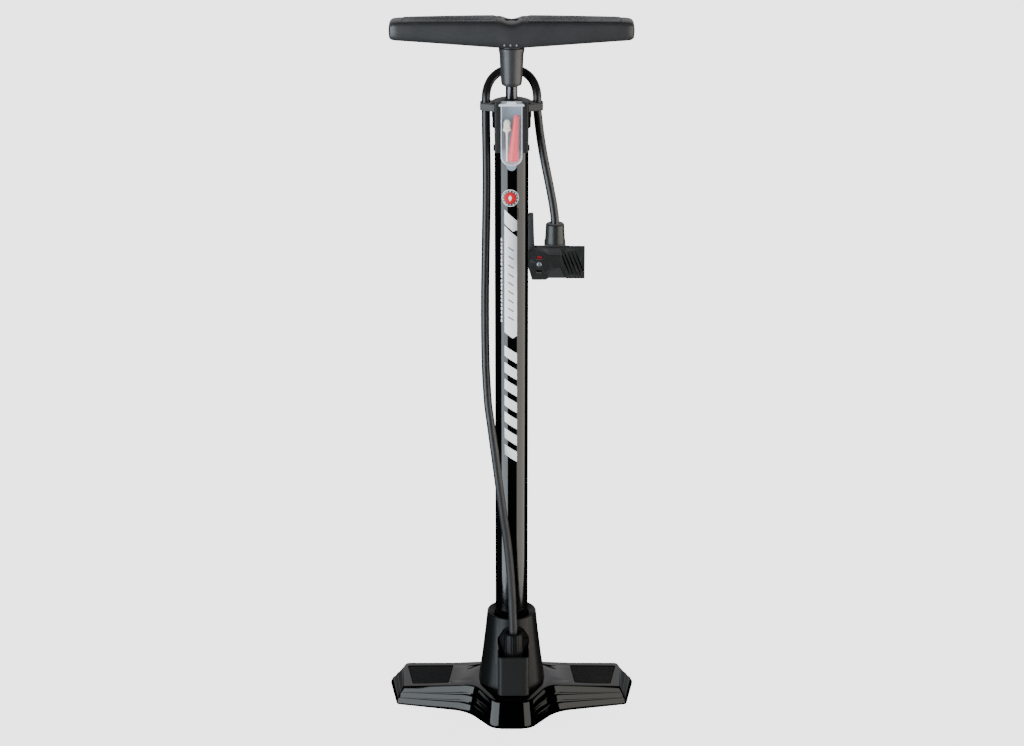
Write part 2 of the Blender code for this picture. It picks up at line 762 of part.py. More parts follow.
def make_handle():
    rings = []
    for side in (-1, 1):
        rows = HANDLE_STATIONS[::-1] if side < 0 else HANDLE_STATIONS[1:]
        for x, half_depth, top, low in rows:
            rings.append([(side * x, y, z) for y, z in handle_section(half_depth, top, low)])
    handle = loft("handle", rings, MATTE_BLACK)
    shank = [
        (0.0, 0.6880),
        (0.0118, 0.6880),
        (0.0128, 0.6800),
        (0.0118, 0.6740),
        (0.0109, 0.6690),
        (0.0108, 0.6600),
        (0.0096, 0.6440),
        (0.0084, 0.6412),
        (0.0070, 0.6405),
        (0.0, 0.6405),
    ]
    join(handle, turned("join_shank", shank))
    cut(handle, turned("cut_rod_socket", rod_profile(ROD_R + GAP, 0.6300, ROD_TOP + GAP)))
    seat = 0.6950
    cut(handle, turned("cut_screw_head", rod_profile(0.0066, seat, 0.7100)))
    cut(handle, turned("cut_screw_hole", rod_profile(0.0044, ROD_TOP - 0.0010, seat + 0.0010)))
    shaft = ROD_BORE - GAP
    screw = [
        (0.0, 0.6994),
        (0.0054, 0.6994),
        (0.0062, 0.6986),
        (0.0062, seat + GAP),
        (shaft, seat + GAP),
        (shaft, 0.6600),
        (0.0, 0.6600),
    ]
    turned("handle_screw", screw, STEEL)
    for side, word in ((-1, "left"), (1, "right")):
        outline = grip_outline(side, GAP)
        floor = [(x, y, station_at(abs(x))[1] - GRIP_DEPTH) for x, y in outline]
        cut(handle, loft("cut_grip_" + word, [floor, at_height(outline, 0.7100)]))
        inlay = grip_outline(side, 0.0)
        rings = [
            [(x, y, station_at(abs(x))[1] - GRIP_DEPTH + GAP) for x, y in inlay],
            [(x, y, station_at(abs(x))[1] - 0.0001) for x, y in inlay],
        ]
        loft("handle_grip_" + word, rings, RUBBER_BLACK, smooth=False)


# ---------------------------------------------------------------- hose

# Centreline from the nut, up beside the barrel, through the left clip, behind the rod, down
# through the right clip and into the head's sleeve.
HOSE_ROUTE = (
    (OUTLET_X, OUTLET_Y, HOSE_START_Z),
    (OUTLET_X, OUTLET_Y, 0.0880),
    (0.0016, -0.0302, 0.1020),
    (0.0010, -0.0292, 0.1180),
    (-0.0001, -0.0270, 0.1430),
    (-0.0018, -0.0250, 0.1665),
    (-0.0039, -0.0238, 0.1878),
    (-0.0067, -0.0232, 0.2090),
    (-0.0096, -0.0228, 0.2308),
    (-0.0123, -0.0222, 0.2518),
    (-0.0150, -0.0210, 0.2733),
    (-0.0176, -0.0186, 0.2927),
    (-0.0203, -0.0148, 0.3128),
    (-0.0228, -0.0100, 0.3315),
    (-0.0249, -0.0040, 0.3715),
    (-0.0253, -0.0008, 0.4320),
    (-0.0243, 0.0000, 0.4900),
    (-0.0233, 0.0000, 0.5500),
    (-CLIP_X, 0.0000, 0.6050),
    (-CLIP_X, 0.0000, 0.6180),
    (-CLIP_X, 0.0002, 0.6260),
    (-0.0235, 0.0030, 0.6325),
    (-0.0213, 0.0092, 0.6395),
    (-0.0166, 0.0150, 0.6455),
    (-0.0092, 0.0184, 0.6498),
    (0.0000, 0.0193, 0.6512),
    (0.0092, 0.0184, 0.6498),
    (0.0166, 0.0150, 0.6455),
    (0.0213, 0.0092, 0.6395),
    (0.0235, 0.0030, 0.6325),
    (CLIP_X, 0.0002, 0.6260),
    (CLIP_X, 0.0000, 0.6180),
    (0.0244, -0.0010, 0.6120),
    (0.0264, -0.0060, 0.5960),
    (0.0295, -0.0118, 0.5775),
    (0.0346, -0.0185, 0.5530),
    (0.0385, -0.0236, 0.5330),
    (SLEEVE_X - 0.0001, HEAD_Y + 0.0001, 0.5190),
    (SLEEVE_X, HEAD_Y, 0.5125),
    (SLEEVE_X, HEAD_Y, HOSE_END_Z),
)
HOSE_SPACING = 0.0125


def make_hose():
    tube("hose", smooth_path(HOSE_ROUTE, HOSE_SPACING), HOSE_R, RUBBER_BLACK)


# ---------------------------------------------------------------- valve head

HEAD_FRONT, HEAD_BACK = HEAD_Y - HEAD_DEPTH / 2, HEAD_Y + HEAD_DEPTH / 2
HEAD_TOP = 0.4963
CAP_X = (0.0508, 0.0683)
CHUCK_BORE = 0.0065
MOUTH_R, MOUTH_LIP = 0.0048, 0.0022
CAM_R = 0.0055
LEVER_HALF_W = 0.0050


def make_head():
    outline = rounded(
        [
            (0.0160, 0.4730, 0.0010),
            (0.0197, 0.4636, 0.0010),
            (0.0325, 0.4638, 0.0010),
            (0.0345, 0.4655, 0.0010),
            (CAP_X[0] - GAP, 0.4655, 0.0004),
            (CAP_X[0] - GAP, HEAD_TOP, 0.0004),
            (0.0222, HEAD_TOP, 0.0010),
            (0.0215, 0.4925, 0.0010),
            (0.0160, 0.4900, 0.0010),
        ],
        2,
    )
    body = prism("head_body", outline, HEAD_FRONT, HEAD_BACK, MATTE_BLACK, axis="Y")
    slot_y = (HEAD_Y - SLOT_W / 2, HEAD_Y + SLOT_W / 2)
    slot = box("cut_slot", (0.0100, 0.0330), slot_y, (0.4500, 0.5100))
    bore = rod_profile(CHUCK_BORE, 0.0320, 0.0600)
    bore = turned("cut_chuck_bore", bore, at=(0, HEAD_Y, CHUCK_Z), axis="X")
    pin_hole = rod_profile(PIN_R + GAP, -0.0500, 0.0)
    pin_hole = turned("cut_pin_hole", pin_hole, at=(PIN_X, 0, PIN_Z), axis="Y")
    cut(body, slot, bore, pin_hole)
    for word, low, high in (("upper", 0.4829, 0.4868), ("lower", 0.4700, 0.4729)):
        corners = ((0.0227, low), (0.0291, low), (0.0291, high), (0.0227, high))
        window = rounded([(x, z, 0.0008) for x, z in corners], 2)
        cut(body, prism("cut_window_" + word, window, HEAD_FRONT - 0.0100, HEAD_Y, axis="Y"))
    pin = rod_profile(PIN_R, HEAD_FRONT - 0.0002, HEAD_BACK)
    turned("lever_pin", pin, STEEL, at=(PIN_X, 0, PIN_Z), axis="Y")


def make_head_cap():
    low = 0.4648
    corners = ((HEAD_FRONT, low), (HEAD_BACK, low), (HEAD_BACK, HEAD_TOP), (HEAD_FRONT, HEAD_TOP))
    section = rounded([(y, z, 0.002) for y, z in corners], 3)
    cap = prism("head_cap", section, CAP_X[0], CAP_X[1], MATTE_BLACK, axis="X")
    at = (0, HEAD_Y, CHUCK_Z)
    near, far = CAP_X
    bore = rod_profile(CHUCK_BORE, near - 0.001, far - MOUTH_LIP)
    mouth = rod_profile(MOUTH_R, far - 2 * MOUTH_LIP, far + 0.001)
    cut(cap, turned("cut_cap_bore", bore, at=at, axis="X"))
    cut(cap, turned("cut_valve_mouth", mouth, at=at, axis="X"))
    gasket = ring_profile(0.0038, CHUCK_BORE - GAP, 0.0580, far - MOUTH_LIP - GAP)
    turned("valve_gasket", gasket, RUBBER_BLACK, at=at, axis="X")
    plunger = [
        (0.0, 0.0540),
        (0.0022, 0.0540),
        (0.0026, 0.0530),
        (0.0060, 0.0520),
        (0.0060, 0.0350),
        (0.0, 0.0350),
    ]
    turned("chuck_plunger", plunger, RED_PLASTIC, at=at, axis="X")


def make_sleeve():
    low, high = SLEEVE_Z
    profile = [
        (HOSE_R + 2 * GAP, HOSE_END_Z - GAP),
        (HOSE_R + 2 * GAP, high - 0.0030),
        (HOSE_R + 3 * GAP, high),
        (0.0077, high),
        (0.0084, high - 0.0007),
        (0.0093, low),
        (0.0015, low),
        (0.0015, HOSE_END_Z - GAP),
    ]
    turned("hose_sleeve", profile, MATTE_BLACK, at=(SLEEVE_X, HEAD_Y, 0))


def make_lever():
    """An upright thumb lever that ends in a round cam about the pin."""
    at = (PIN_X, HEAD_Y, PIN_Z)
    outline = [
        (0.0155, 0.4955),
        (0.0158, 0.5262),
        (0.0165, 0.5273),
        (0.0192, 0.5273),
        (0.0199, 0.5262),
        (0.0206, 0.4955),
    ]
    for degrees in range(120, -190, -30):
        turn = math.radians(degrees)
        outline.append((PIN_X + CAM_R * math.cos(turn), PIN_Z + CAM_R * math.sin(turn)))
    outline.append((0.0168, 0.4850))
    about_pin = [(x - PIN_X, z - PIN_Z) for x, z in outline]
    lever = prism("thumb_lever", about_pin, -LEVER_HALF_W, LEVER_HALF_W, MATTE_BLACK, axis="Y")
    lever.location = at
    hole = rod_profile(PIN_R + GAP, -0.0100, 0.0100)
    cut(lever, turned("cut_lever_hole", hole, at=at, axis="Y"))


make_base()
make_feet()
make_collar()
make_valve()
make_outlet()
make_barrel()
make_bracket()
make_tray()
make_adapters()
make_plunger()
make_handle()
make_hose()
make_head()
make_head_cap()
make_sleeve()
make_lever()
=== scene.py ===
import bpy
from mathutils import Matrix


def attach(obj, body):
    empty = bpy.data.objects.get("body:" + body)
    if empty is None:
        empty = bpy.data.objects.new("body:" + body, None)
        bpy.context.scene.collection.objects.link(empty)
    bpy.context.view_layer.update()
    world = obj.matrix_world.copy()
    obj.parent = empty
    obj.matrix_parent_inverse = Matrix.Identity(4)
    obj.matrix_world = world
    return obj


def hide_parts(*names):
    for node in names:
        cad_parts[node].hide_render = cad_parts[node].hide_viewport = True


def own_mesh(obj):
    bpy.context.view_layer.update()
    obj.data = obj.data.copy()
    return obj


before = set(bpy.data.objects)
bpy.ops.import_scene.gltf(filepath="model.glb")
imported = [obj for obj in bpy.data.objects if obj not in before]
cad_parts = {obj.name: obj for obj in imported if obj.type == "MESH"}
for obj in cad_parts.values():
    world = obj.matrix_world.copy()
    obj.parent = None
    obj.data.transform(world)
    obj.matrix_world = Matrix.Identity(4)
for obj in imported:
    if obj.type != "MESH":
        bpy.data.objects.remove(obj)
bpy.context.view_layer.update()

from math import cos, hypot, pi, radians, sin, tan, tau

import bmesh
import bpy
from mathutils import Matrix, Vector, geometry

# Floor bike pump. Metres, +Z up, the front faces -Y, origin on the floor on the barrel's axis.

scene = bpy.context.scene

# ---- camera

camera_data = bpy.data.cameras.new("camera")
camera_data.lens = 87.19
camera_data.sensor_width = 36.0
camera = bpy.data.objects.new("camera", camera_data)
camera.location = (0.0004, -2.25, 1.16)
camera.rotation_euler = (radians(90.0 - 19.62), 0.0, 0.0)
scene.collection.objects.link(camera)
scene.camera = camera


# ---- materials


class Nodes:
    """A material's node tree, with short ways to add what every surface here uses."""

    def __init__(self, name):
        self.material = bpy.data.materials.new(name)
        self.material.use_nodes = True
        self.tree = self.material.node_tree
        self.shader = self.tree.nodes["Principled BSDF"]
        self.coords = self.tree.nodes.new("ShaderNodeTexCoord").outputs["Object"]

    def add(self, kind, **settings):
        node = self.tree.nodes.new(kind)
        for key, value in settings.items():
            setattr(node, key, value)
        return node

    def link(self, source, target):
        self.tree.links.new(source, target)

    def stretched(self, scale):
        mapping = self.add("ShaderNodeMapping")
        mapping.inputs["Scale"].default_value = scale
        self.link(self.coords, mapping.inputs["Vector"])
        return mapping.outputs["Vector"]

    def noise(self, scale, detail=3.0, vector=None):
        node = self.add("ShaderNodeTexNoise")
        node.inputs["Scale"].default_value = scale
        node.inputs["Detail"].default_value = detail
        self.link(vector or self.coords, node.inputs["Vector"])
        return node.outputs["Fac"]

    def ramp(self, value, *ends):
        """The value with the range of the first two ends taken to that of the last two."""
        node = self.add("ShaderNodeMapRange")
        for key, number in zip(("From Min", "From Max", "To Min", "To Max"), ends):
            node.inputs[key].default_value = number
        self.link(value, node.inputs["Value"])
        return node.outputs["Result"]

    def mix(self, factor, first, second):
        """Colour between two, each a colour or a socket."""
        node = self.add("ShaderNodeMix", data_type="RGBA")
        self.link(factor, node.inputs["Factor"])
        for key, value in ((6, first), (7, second)):
            if isinstance(value, tuple):
                node.inputs[key].default_value = (*value, 1.0)
            else:
                self.link(value, node.inputs[key])
        return node.outputs[2]

    def bump(self, height, depth):
        node = self.add("ShaderNodeBump")
        node.inputs["Distance"].default_value = depth
        self.link(height, node.inputs["Height"])
        return node.outputs["Normal"]


def surface(
    name, colour, rough, mottle=0.12, grain=900.0, depth=0.00004, rough_spread=0.06, wear=0.0,
    stretch=None, speckle=0.0, duller=None, **sockets,
):
    """A Principled material with mottled colour, a fine grain and lighter worn edges."""
    n = Nodes(name)
    for key, value in sockets.items():
        n.shader.inputs[key.replace("_", " ")].default_value = value
    along = n.stretched(stretch) if stretch else n.coords
    fine = n.noise(grain, 4.0, along)
    broad = n.noise(38.0, 3.0)
    light = tuple(min(1.0, c * (1.0 + mottle)) for c in colour)
    dark = tuple(c * (1.0 - mottle) for c in colour)
    tone = n.mix(n.ramp(broad, 0.30, 0.70, 0.0, 1.0), dark, light)
    if speckle:
        flecks = n.ramp(n.noise(grain * 1.6, 2.0), 0.52, 0.72, 0.0, speckle)
        tone = n.mix(flecks, tone, tuple(min(1.0, c * 4.0 + 0.02) for c in colour))
    if wear:
        edge = n.add("ShaderNodeNewGeometry").outputs["Pointiness"]
        rub = n.ramp(edge, 0.53, 0.62, 0.0, wear)
        tone = n.mix(rub, tone, (0.10, 0.10, 0.10))
    n.link(tone, n.shader.inputs["Base Color"])
    spread = n.ramp(fine, 0.30, 0.70, rough - rough_spread, rough + rough_spread)
    if duller:
        axes = n.add("ShaderNodeSeparateXYZ")
        n.link(n.coords, axes.inputs["Vector"])
        total = n.add("ShaderNodeMath", operation="ADD")
        n.link(spread, total.inputs[0])
        n.link(n.ramp(axes.outputs["Z"], *duller), total.inputs[1])
        spread = total.outputs[0]
    n.link(spread, n.shader.inputs["Roughness"])
    n.link(n.bump(fine, depth), n.shader.inputs["Normal"])
    return n.material


HANDLE_BLACK = surface(
    "charcoal_moulding", (0.031, 0.031, 0.033), 0.38, grain=1500, depth=0.00006, wear=0.2,
    speckle=0.06,
)
# Light grey for the neck ribs: a painted highlight that stands in for the small bright glints on
# their dark plastic.
RIB_PAINTED_HIGHLIGHT = surface("painted_highlight_moulding", (0.30, 0.30, 0.31), 0.40, grain=1500, depth=0.00005)
MATTE_BLACK = surface(
    "matte_moulding", (0.010, 0.011, 0.011), 0.40, grain=1300, depth=0.00005, wear=0.15,
    speckle=0.04,
)
COLLAR_BLACK = surface(
    "collar_moulding", (0.0040, 0.0045, 0.0043), 0.32, grain=1300, depth=0.00005, wear=0.12,
    speckle=0.03, Specular_IOR_Level=0.13,
)
SPARK_BLACK = surface(
    "spark_eroded_moulding", (0.016, 0.016, 0.0165), 0.50, grain=950, depth=0.00012, wear=0.2,
    speckle=0.14,
)
HEAD_BLACK = surface(
    "head_moulding", (0.0105, 0.0108, 0.0106), 0.46, grain=950, depth=0.00010, wear=0.15,
    speckle=0.06, Specular_IOR_Level=0.30,
)
PIN_STEEL = surface(
    "pin_steel", (0.36, 0.38, 0.41), 0.42, grain=1200, depth=0.00002, mottle=0.08, Metallic=1.0
)
GRIP_BLACK = surface(
    "grip_rubber", (0.014, 0.014, 0.015), 0.60, grain=1100, depth=0.00012, speckle=0.08
)
PAD_BLACK = surface(
    "pad_rubber", (0.006, 0.006, 0.006), 0.70, grain=620, depth=0.00030, speckle=0.10, mottle=0.2,
    Specular_IOR_Level=0.25,
)
RUBBER = surface("plain_rubber", (0.010, 0.010, 0.011), 0.62, grain=700, depth=0.00008, mottle=0.2)
HOSE_BLACK = surface(
    "hose_rubber", (0.010, 0.010, 0.011), 0.34, grain=420, depth=0.00004, stretch=(1, 1, 0.12),
    duller=(0.20, 0.38, 0.24, 0.0),
)
GLOSS_BASE = surface(
    "gloss_moulding", (0.0015, 0.0015, 0.0017), 0.07, grain=160, depth=0.000004, rough_spread=0.03
)
GLOSS_BARREL = surface(
    "gloss_lacquer", (0.0015, 0.0015, 0.0017), 0.08, grain=120, depth=0.000003, rough_spread=0.03
)
CHROME = surface(
    "polished_rod", (0.085, 0.087, 0.092), 0.26, grain=600, depth=0.000002, rough_spread=0.03,
    mottle=0.04, stretch=(1, 1, 0.02), Metallic=1.0,
)
STEEL = surface(
    "plated_steel", (0.55, 0.56, 0.58), 0.30, grain=1200, depth=0.00002, mottle=0.08, Metallic=1.0
)
BRASS = surface("turned_brass", (0.70, 0.52, 0.24), 0.28, grain=900, mottle=0.08, Metallic=1.0)
CAP_BLACK = surface(
    "cap_moulding", (0.003, 0.003, 0.0033), 0.36, grain=1100, depth=0.00006, wear=0.15,
    speckle=0.04, Specular_IOR_Level=0.12,
)
RED = surface(
    "red_moulding", (0.90, 0.020, 0.050), 0.42, grain=900, depth=0.00002, Subsurface_Weight=0.1
)
DARK_RED = surface("dark_red_moulding", (0.26, 0.006, 0.012), 0.45, grain=900, depth=0.00002)
CREAM = surface("cream_moulding", (0.86, 0.82, 0.70), 0.42, grain=900, depth=0.00002, mottle=0.05)
FROSTED = surface(
    "frosted_clear", (0.72, 0.76, 0.82), 0.30, grain=1400, depth=0.00004, mottle=0.05, Alpha=0.88
)
SLATE = surface(
    "milky_blue", (0.26, 0.33, 0.40), 0.30, grain=1400, depth=0.00003, mottle=0.08, Alpha=0.94
)
CLEAR = surface(
    "clear_moulding", (0.80, 0.86, 0.92), 0.12, grain=500, depth=0.00001, mottle=0.05, Alpha=0.05
)
WHITE_PRINT = surface(
    "white_print", (0.96, 0.97, 0.97), 0.35, grain=800, depth=0.000004, mottle=0.03
)
RED_PRINT = surface(
    "red_print", (0.60, 0.004, 0.014), 0.45, grain=800, depth=0.000004, mottle=0.05,
    Specular_IOR_Level=0.15,
)
GREY_PRINT = surface("grey_print", (0.06, 0.06, 0.065), 0.35, grain=800, depth=0.000004)


# ---- shape helpers

SIDES = ((-1, "left"), (1, "right"))


def put(name, bm, look=None, body="pump_body", slot="matte_black", node=None, angle=35.0):
    """A piece from a mesh in world coordinates, or a bare helper if it has no look."""
    bmesh.ops.recalc_face_normals(bm, faces=bm.faces)
    mesh = bpy.data.meshes.new(name)
    bm.to_mesh(mesh)
    bm.free()
    obj = bpy.data.objects.new(name, mesh)
    scene.collection.objects.link(obj)
    if look:
        mesh.materials.append(look)
        shade(obj, angle)
        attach(obj, body)
    if node:
        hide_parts(node)
    return obj


def shade(obj, angle=35.0):
    obj.data.shade_smooth()
    obj.data.set_sharp_from_angle(angle=radians(angle))


def flatten(mesh):
    """Splits faces of more than four corners, which needn't be flat."""
    bm = bmesh.new()
    bm.from_mesh(mesh)
    bmesh.ops.triangulate(bm, faces=[face for face in bm.faces if len(face.verts) > 4])
    bm.to_mesh(mesh)
    bm.free()


def carve(obj, cutters, operation="DIFFERENCE", angle=35.0):
    """Applies Booleans one by one and removes the helpers."""
    for cutter in cutters:
        flatten(cutter.data)
        flatten(obj.data)
        modifier = obj.modifiers.new("cut", "BOOLEAN")
        modifier.operation = operation
        modifier.object = cutter
        modifier.solver = "EXACT"
        bpy.context.view_layer.update()
        graph = bpy.context.evaluated_depsgraph_get()
        mesh = bpy.data.meshes.new_from_object(obj.evaluated_get(graph))
        obj.modifiers.clear()
        old = obj.data
        obj.data = mesh
        bpy.data.meshes.remove(old)
        bpy.data.objects.remove(cutter, do_unlink=True)
    bm = bmesh.new()
    bm.from_mesh(obj.data)
    bmesh.ops.remove_doubles(bm, verts=bm.verts, dist=2e-6)
    bmesh.ops.dissolve_degenerate(bm, edges=bm.edges, dist=1e-6)
    bm.to_mesh(obj.data)
    bm.free()
    shade(obj, angle)
    return obj


def soften(obj, width, segments=2, angle=40.0):
    modifier = obj.modifiers.new("soft_edges", "BEVEL")
    modifier.width = width
    modifier.segments = segments
    modifier.limit_method = "ANGLE"
    modifier.angle_limit = radians(angle)
    modifier.use_clamp_overlap = True
    modifier.harden_normals = True
    return obj


def rounded(corners, steps=6):
    """A closed outline: each corner is (x, y, radius), and an arc of that radius replaces it."""
    points = []
    count = len(corners)
    for i, (x, y, radius) in enumerate(corners):
        here = Vector((x, y))
        if radius == 0.0:
            points.append((x, y))
            continue
        before = (Vector(corners[i - 1][:2]) - here).normalized()
        after = (Vector(corners[(i + 1) % count][:2]) - here).normalized()
        half = before.angle(after) / 2
        if half > radians(89.5):
            points.append((x, y))
            continue
        middle = here + (before + after).normalized() * (radius / sin(half))
        start = here + before * (radius / tan(half)) - middle
        turn = start.angle_signed(here + after * (radius / tan(half)) - middle)
        for k in range(steps + 1):
            arm = start.copy()
            arm.rotate(Matrix.Rotation(-turn * k / steps, 2))
            points.append(tuple(middle + arm))
    return points


def inset(outline, amount):
    """The outline moved inward by amount along its corner bisectors."""
    area = sum(p[0] * q[1] - q[0] * p[1] for p, q in zip(outline, outline[1:] + outline[:1]))
    side = 1.0 if area > 0 else -1.0
    moved = []
    for i, p in enumerate(outline):
        here = Vector(p)
        before = (here - Vector(outline[i - 1])).normalized()
        after = (Vector(outline[(i + 1) % len(outline)]) - here).normalized()
        normal_a = Vector((-before.y, before.x)) * side
        normal_b = Vector((-after.y, after.x)) * side
        bisector = (normal_a + normal_b).normalized()
        reach = amount / max(0.4, bisector.dot(normal_a))
        moved.append(tuple(here + bisector * reach))
    return moved


def loft_mesh(rings, closed=False, caps=True):
    bm = bmesh.new()
    rows = [[bm.verts.new(point) for point in ring] for ring in rings]
    pairs = list(zip(rows, rows[1:]))
    if closed:
        pairs.append((rows[-1], rows[0]))
    for low, high in pairs:
        for i in range(len(low)):
            j = (i + 1) % len(low)
            bm.faces.new((low[i], low[j], high[j], high[i]))
    if caps and not closed:
        bm.faces.new(list(reversed(rows[0])))
        bm.faces.new(rows[-1])
    return bm


def placed(outline, w, axis):
    """A 2-D outline as 3-D points at w along an axis."""
    if axis == "X":
        return [(w, u, v) for u, v in outline]
    if axis == "Y":
        return [(u, w, v) for u, v in outline]
    return [(u, v, w) for u, v in outline]


def prism(name, outline, low, high, edge=0.0, axis="Z", **place):
    """An extruded outline, with rounded rims if it has an edge."""
    if edge:
        turns = [pi / 2 * k / 3 for k in range(4)]
        rims = [(edge * (1 - sin(t)), low + edge * (1 - cos(t))) for t in turns]
        rims += [(pull, low + high - w) for pull, w in reversed(rims)]
        rings = [placed(inset(outline, pull), w, axis) for pull, w in rims]
    else:
        rings = [placed(outline, low, axis), placed(outline, high, axis)]
    return put(name, loft_mesh(rings), **place)


def lathe_mesh(profile, steps=96, at=(0.0, 0.0, 0.0), axis="Z"):
    bm = bmesh.new()
    verts = [bm.verts.new((r, 0.0, z)) for r, z in profile]
    edges = [bm.edges.new(pair) for pair in zip(verts, verts[1:])]
    if profile[0][0] > 0.0:
        edges.append(bm.edges.new((verts[-1], verts[0])))
    around = {"geom": verts + edges, "axis": (0, 0, 1), "cent": (0, 0, 0)}
    bmesh.ops.spin(bm, **around, angle=tau, steps=steps, use_merge=True)
    bmesh.ops.remove_doubles(bm, verts=bm.verts, dist=1e-6)
    if axis != "Z":
        target = Vector((1, 0, 0)) if axis == "X" else Vector((0, 1, 0))
        turn = Vector((0, 0, 1)).rotation_difference(target).to_matrix().to_4x4()
        bmesh.ops.transform(bm, matrix=turn, verts=bm.verts)
    bmesh.ops.translate(bm, vec=at, verts=bm.verts)
    return bm


def lathe(name, corners, steps=96, at=(0.0, 0.0, 0.0), axis="Z", **place):
    """Corners of (radius, height, fillet radius), turned about an axis."""
    return put(name, lathe_mesh(rounded(corners, 4), steps, at, axis), **place)


def rod(radius, low, high, edge=0.0):
    return [(0.0, high, 0), (radius, high, edge), (radius, low, edge), (0.0, low, 0)]


def tube(inner, outer, low, high, edge=0.0):
    return [(inner, high, edge), (outer, high, edge), (outer, low, edge), (inner, low, edge)]


def disc(x, y, radius, count=48):
    turns = [tau * k / count for k in range(count)]
    return [(x + radius * cos(turn), y + radius * sin(turn)) for turn in turns]


def box_outline(x, y):
    return [(x[0], y[0]), (x[1], y[0]), (x[1], y[1]), (x[0], y[1])]


def smooth_path(points, spacing):
    """Points a steady distance apart on a Bezier-smooth curve through the given ones."""
    knots = [Vector(p) for p in points]
    fine = []
    for i in range(len(knots) - 1):
        a, b = knots[i], knots[i + 1]
        before = knots[max(i - 1, 0)]
        after = knots[min(i + 2, len(knots) - 1)]
        reach = (b - a).length / 3
        leave = (b - before).normalized() * reach
        arrive = (after - a).normalized() * reach
        fine += geometry.interpolate_bezier(a, a + leave, b - arrive, b, 13)[:-1]
    fine.append(knots[-1])
    length = sum((q - p).length for p, q in zip(fine, fine[1:]))
    count = max(2, round(length / spacing))
    path, walked, wanted = [fine[0]], 0.0, length / count
    for p, q in zip(fine, fine[1:]):
        step = (q - p).length
        while walked + step >= wanted and len(path) < count:
            path.append(p.lerp(q, (wanted - walked) / step))
            wanted += length / count
        walked += step
    return path + [fine[-1]]


# ---- hose (the cord comes first)

HOSE_R = 0.0040
OUTLET_X, OUTLET_Y, HOSE_START_Z = 0.0018, -0.0302, 0.0763
CLIP_X = 0.0238
HEAD_Y = -0.0260
SLEEVE_X = 0.0405
HOSE_END_Z = 0.5060
HOSE_ROUTE = (
    (OUTLET_X, OUTLET_Y, HOSE_START_Z), (OUTLET_X, OUTLET_Y, 0.0880), (0.0016, -0.0302, 0.1020),
    (0.0010, -0.0292, 0.1180), (-0.0001, -0.0270, 0.1430), (-0.0018, -0.0250, 0.1665),
    (-0.0039, -0.0238, 0.1878), (-0.0067, -0.0232, 0.2090), (-0.0096, -0.0228, 0.2308),
    (-0.0123, -0.0222, 0.2518), (-0.0150, -0.0210, 0.2733), (-0.0176, -0.0186, 0.2927),
    (-0.0203, -0.0148, 0.3128), (-0.0228, -0.0100, 0.3315), (-0.0249, -0.0040, 0.3715),
    (-0.0253, -0.0008, 0.4320), (-0.0243, 0.0000, 0.4900), (-0.0233, 0.0000, 0.5500),
    (-CLIP_X, 0.0000, 0.6050), (-CLIP_X, 0.0000, 0.6180), (-CLIP_X, 0.0002, 0.6260),
    (-0.0235, 0.0030, 0.6325), (-0.0213, 0.0092, 0.6395), (-0.0166, 0.0150, 0.6455),
    (-0.0092, 0.0184, 0.6498), (0.0000, 0.0193, 0.6512), (0.0092, 0.0184, 0.6498),
    (0.0166, 0.0150, 0.6455), (0.0213, 0.0092, 0.6395), (0.0235, 0.0030, 0.6325),
    (CLIP_X, 0.0002, 0.6260), (CLIP_X, 0.0000, 0.6180), (0.0244, -0.0010, 0.6120),
    (0.0264, -0.0060, 0.5960), (0.0295, -0.0118, 0.5775), (0.0346, -0.0185, 0.5530),
    (0.0385, -0.0236, 0.5330), (SLEEVE_X - 0.0001, HEAD_Y + 0.0001, 0.5190),
    (SLEEVE_X, HEAD_Y, 0.5125), (SLEEVE_X, HEAD_Y, HOSE_END_Z),
)


def make_hose():
    path = smooth_path(HOSE_ROUTE, 0.0035)
    data = bpy.data.curves.new("air_hose", "CURVE")
    data.dimensions = "3D"
    data.bevel_depth = HOSE_R
    data.bevel_resolution = 8
    data.use_fill_caps = True
    spline = data.splines.new("POLY")
    spline.points.add(len(path) - 1)
    for point, where in zip(spline.points, path):
        point.co = (*where, 1.0)
    spline.use_smooth = True
    data.materials.append(HOSE_BLACK)
    hose = bpy.data.objects.new("air_hose", data)
    scene.collection.objects.link(hose)
    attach(hose, "pump_body")
    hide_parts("hose")
    return hose, sum((q - p).length for p, q in zip(path, path[1:]))


# ---- base

FOOT_H = 0.0030
HUB_TOP, HUB_R = 0.0340, 0.0360
WALL, BOSS_FOOT = 0.0035, 0.0060
RIM_HALF = (
    (0.0190, -0.0540, 0.0140), (0.0450, -0.0172, 0.0380), (0.1160, -0.0014, 0.0040),
    (0.1245, 0.0480, 0.0050), (0.1130, 0.0545, 0.0050), (0.0610, 0.0435, 0.0300),
    (0.0220, 0.0365, 0.0300),
)
LIP_HALF = (
    (0.0172, -0.0502, 0.0120), (0.0380, -0.0164, 0.0300), (0.1082, 0.0000, 0.0020),
    (0.1100, 0.0420, 0.0030), (0.1082, 0.0530, 0.0030), (0.0605, 0.0417, 0.0300),
    (0.0218, 0.0347, 0.0300),
)
HOLLOW_HALF = (
    (0.0120, -0.0340, 0.0030), (0.0330, -0.0150, 0.0060), (0.0960, 0.0030, 0.0020),
    (0.0970, 0.0380, 0.0030), (0.0950, 0.0450, 0.0030), (0.0600, 0.0380, 0.0200),
    (0.0215, 0.0320, 0.0200),
)
PAD_CORNERS = ((0.0995, 0.0040), (0.0640, -0.0040), (0.0600, 0.0350), (0.1060, 0.0455))


def mirrored(half):
    back = [(-x, y, radius) for x, y, radius in reversed(half)]
    return [(0.0, half[0][1], 0.0), *half, (0.0, half[-1][1], 0.0), *back]


def step(value, low, high):
    """0 at low, 1 at high, smooth between."""
    share = min(1.0, max(0.0, (value - low) / (high - low)))
    return share * share * (3 - 2 * share)


def base_top(x, y):
    arm = 0.0300 - 0.119 * max(0.0, abs(x) - 0.0470)
    return arm + (HUB_TOP - arm) * step(-hypot(x, y), -0.0590, -0.0360)


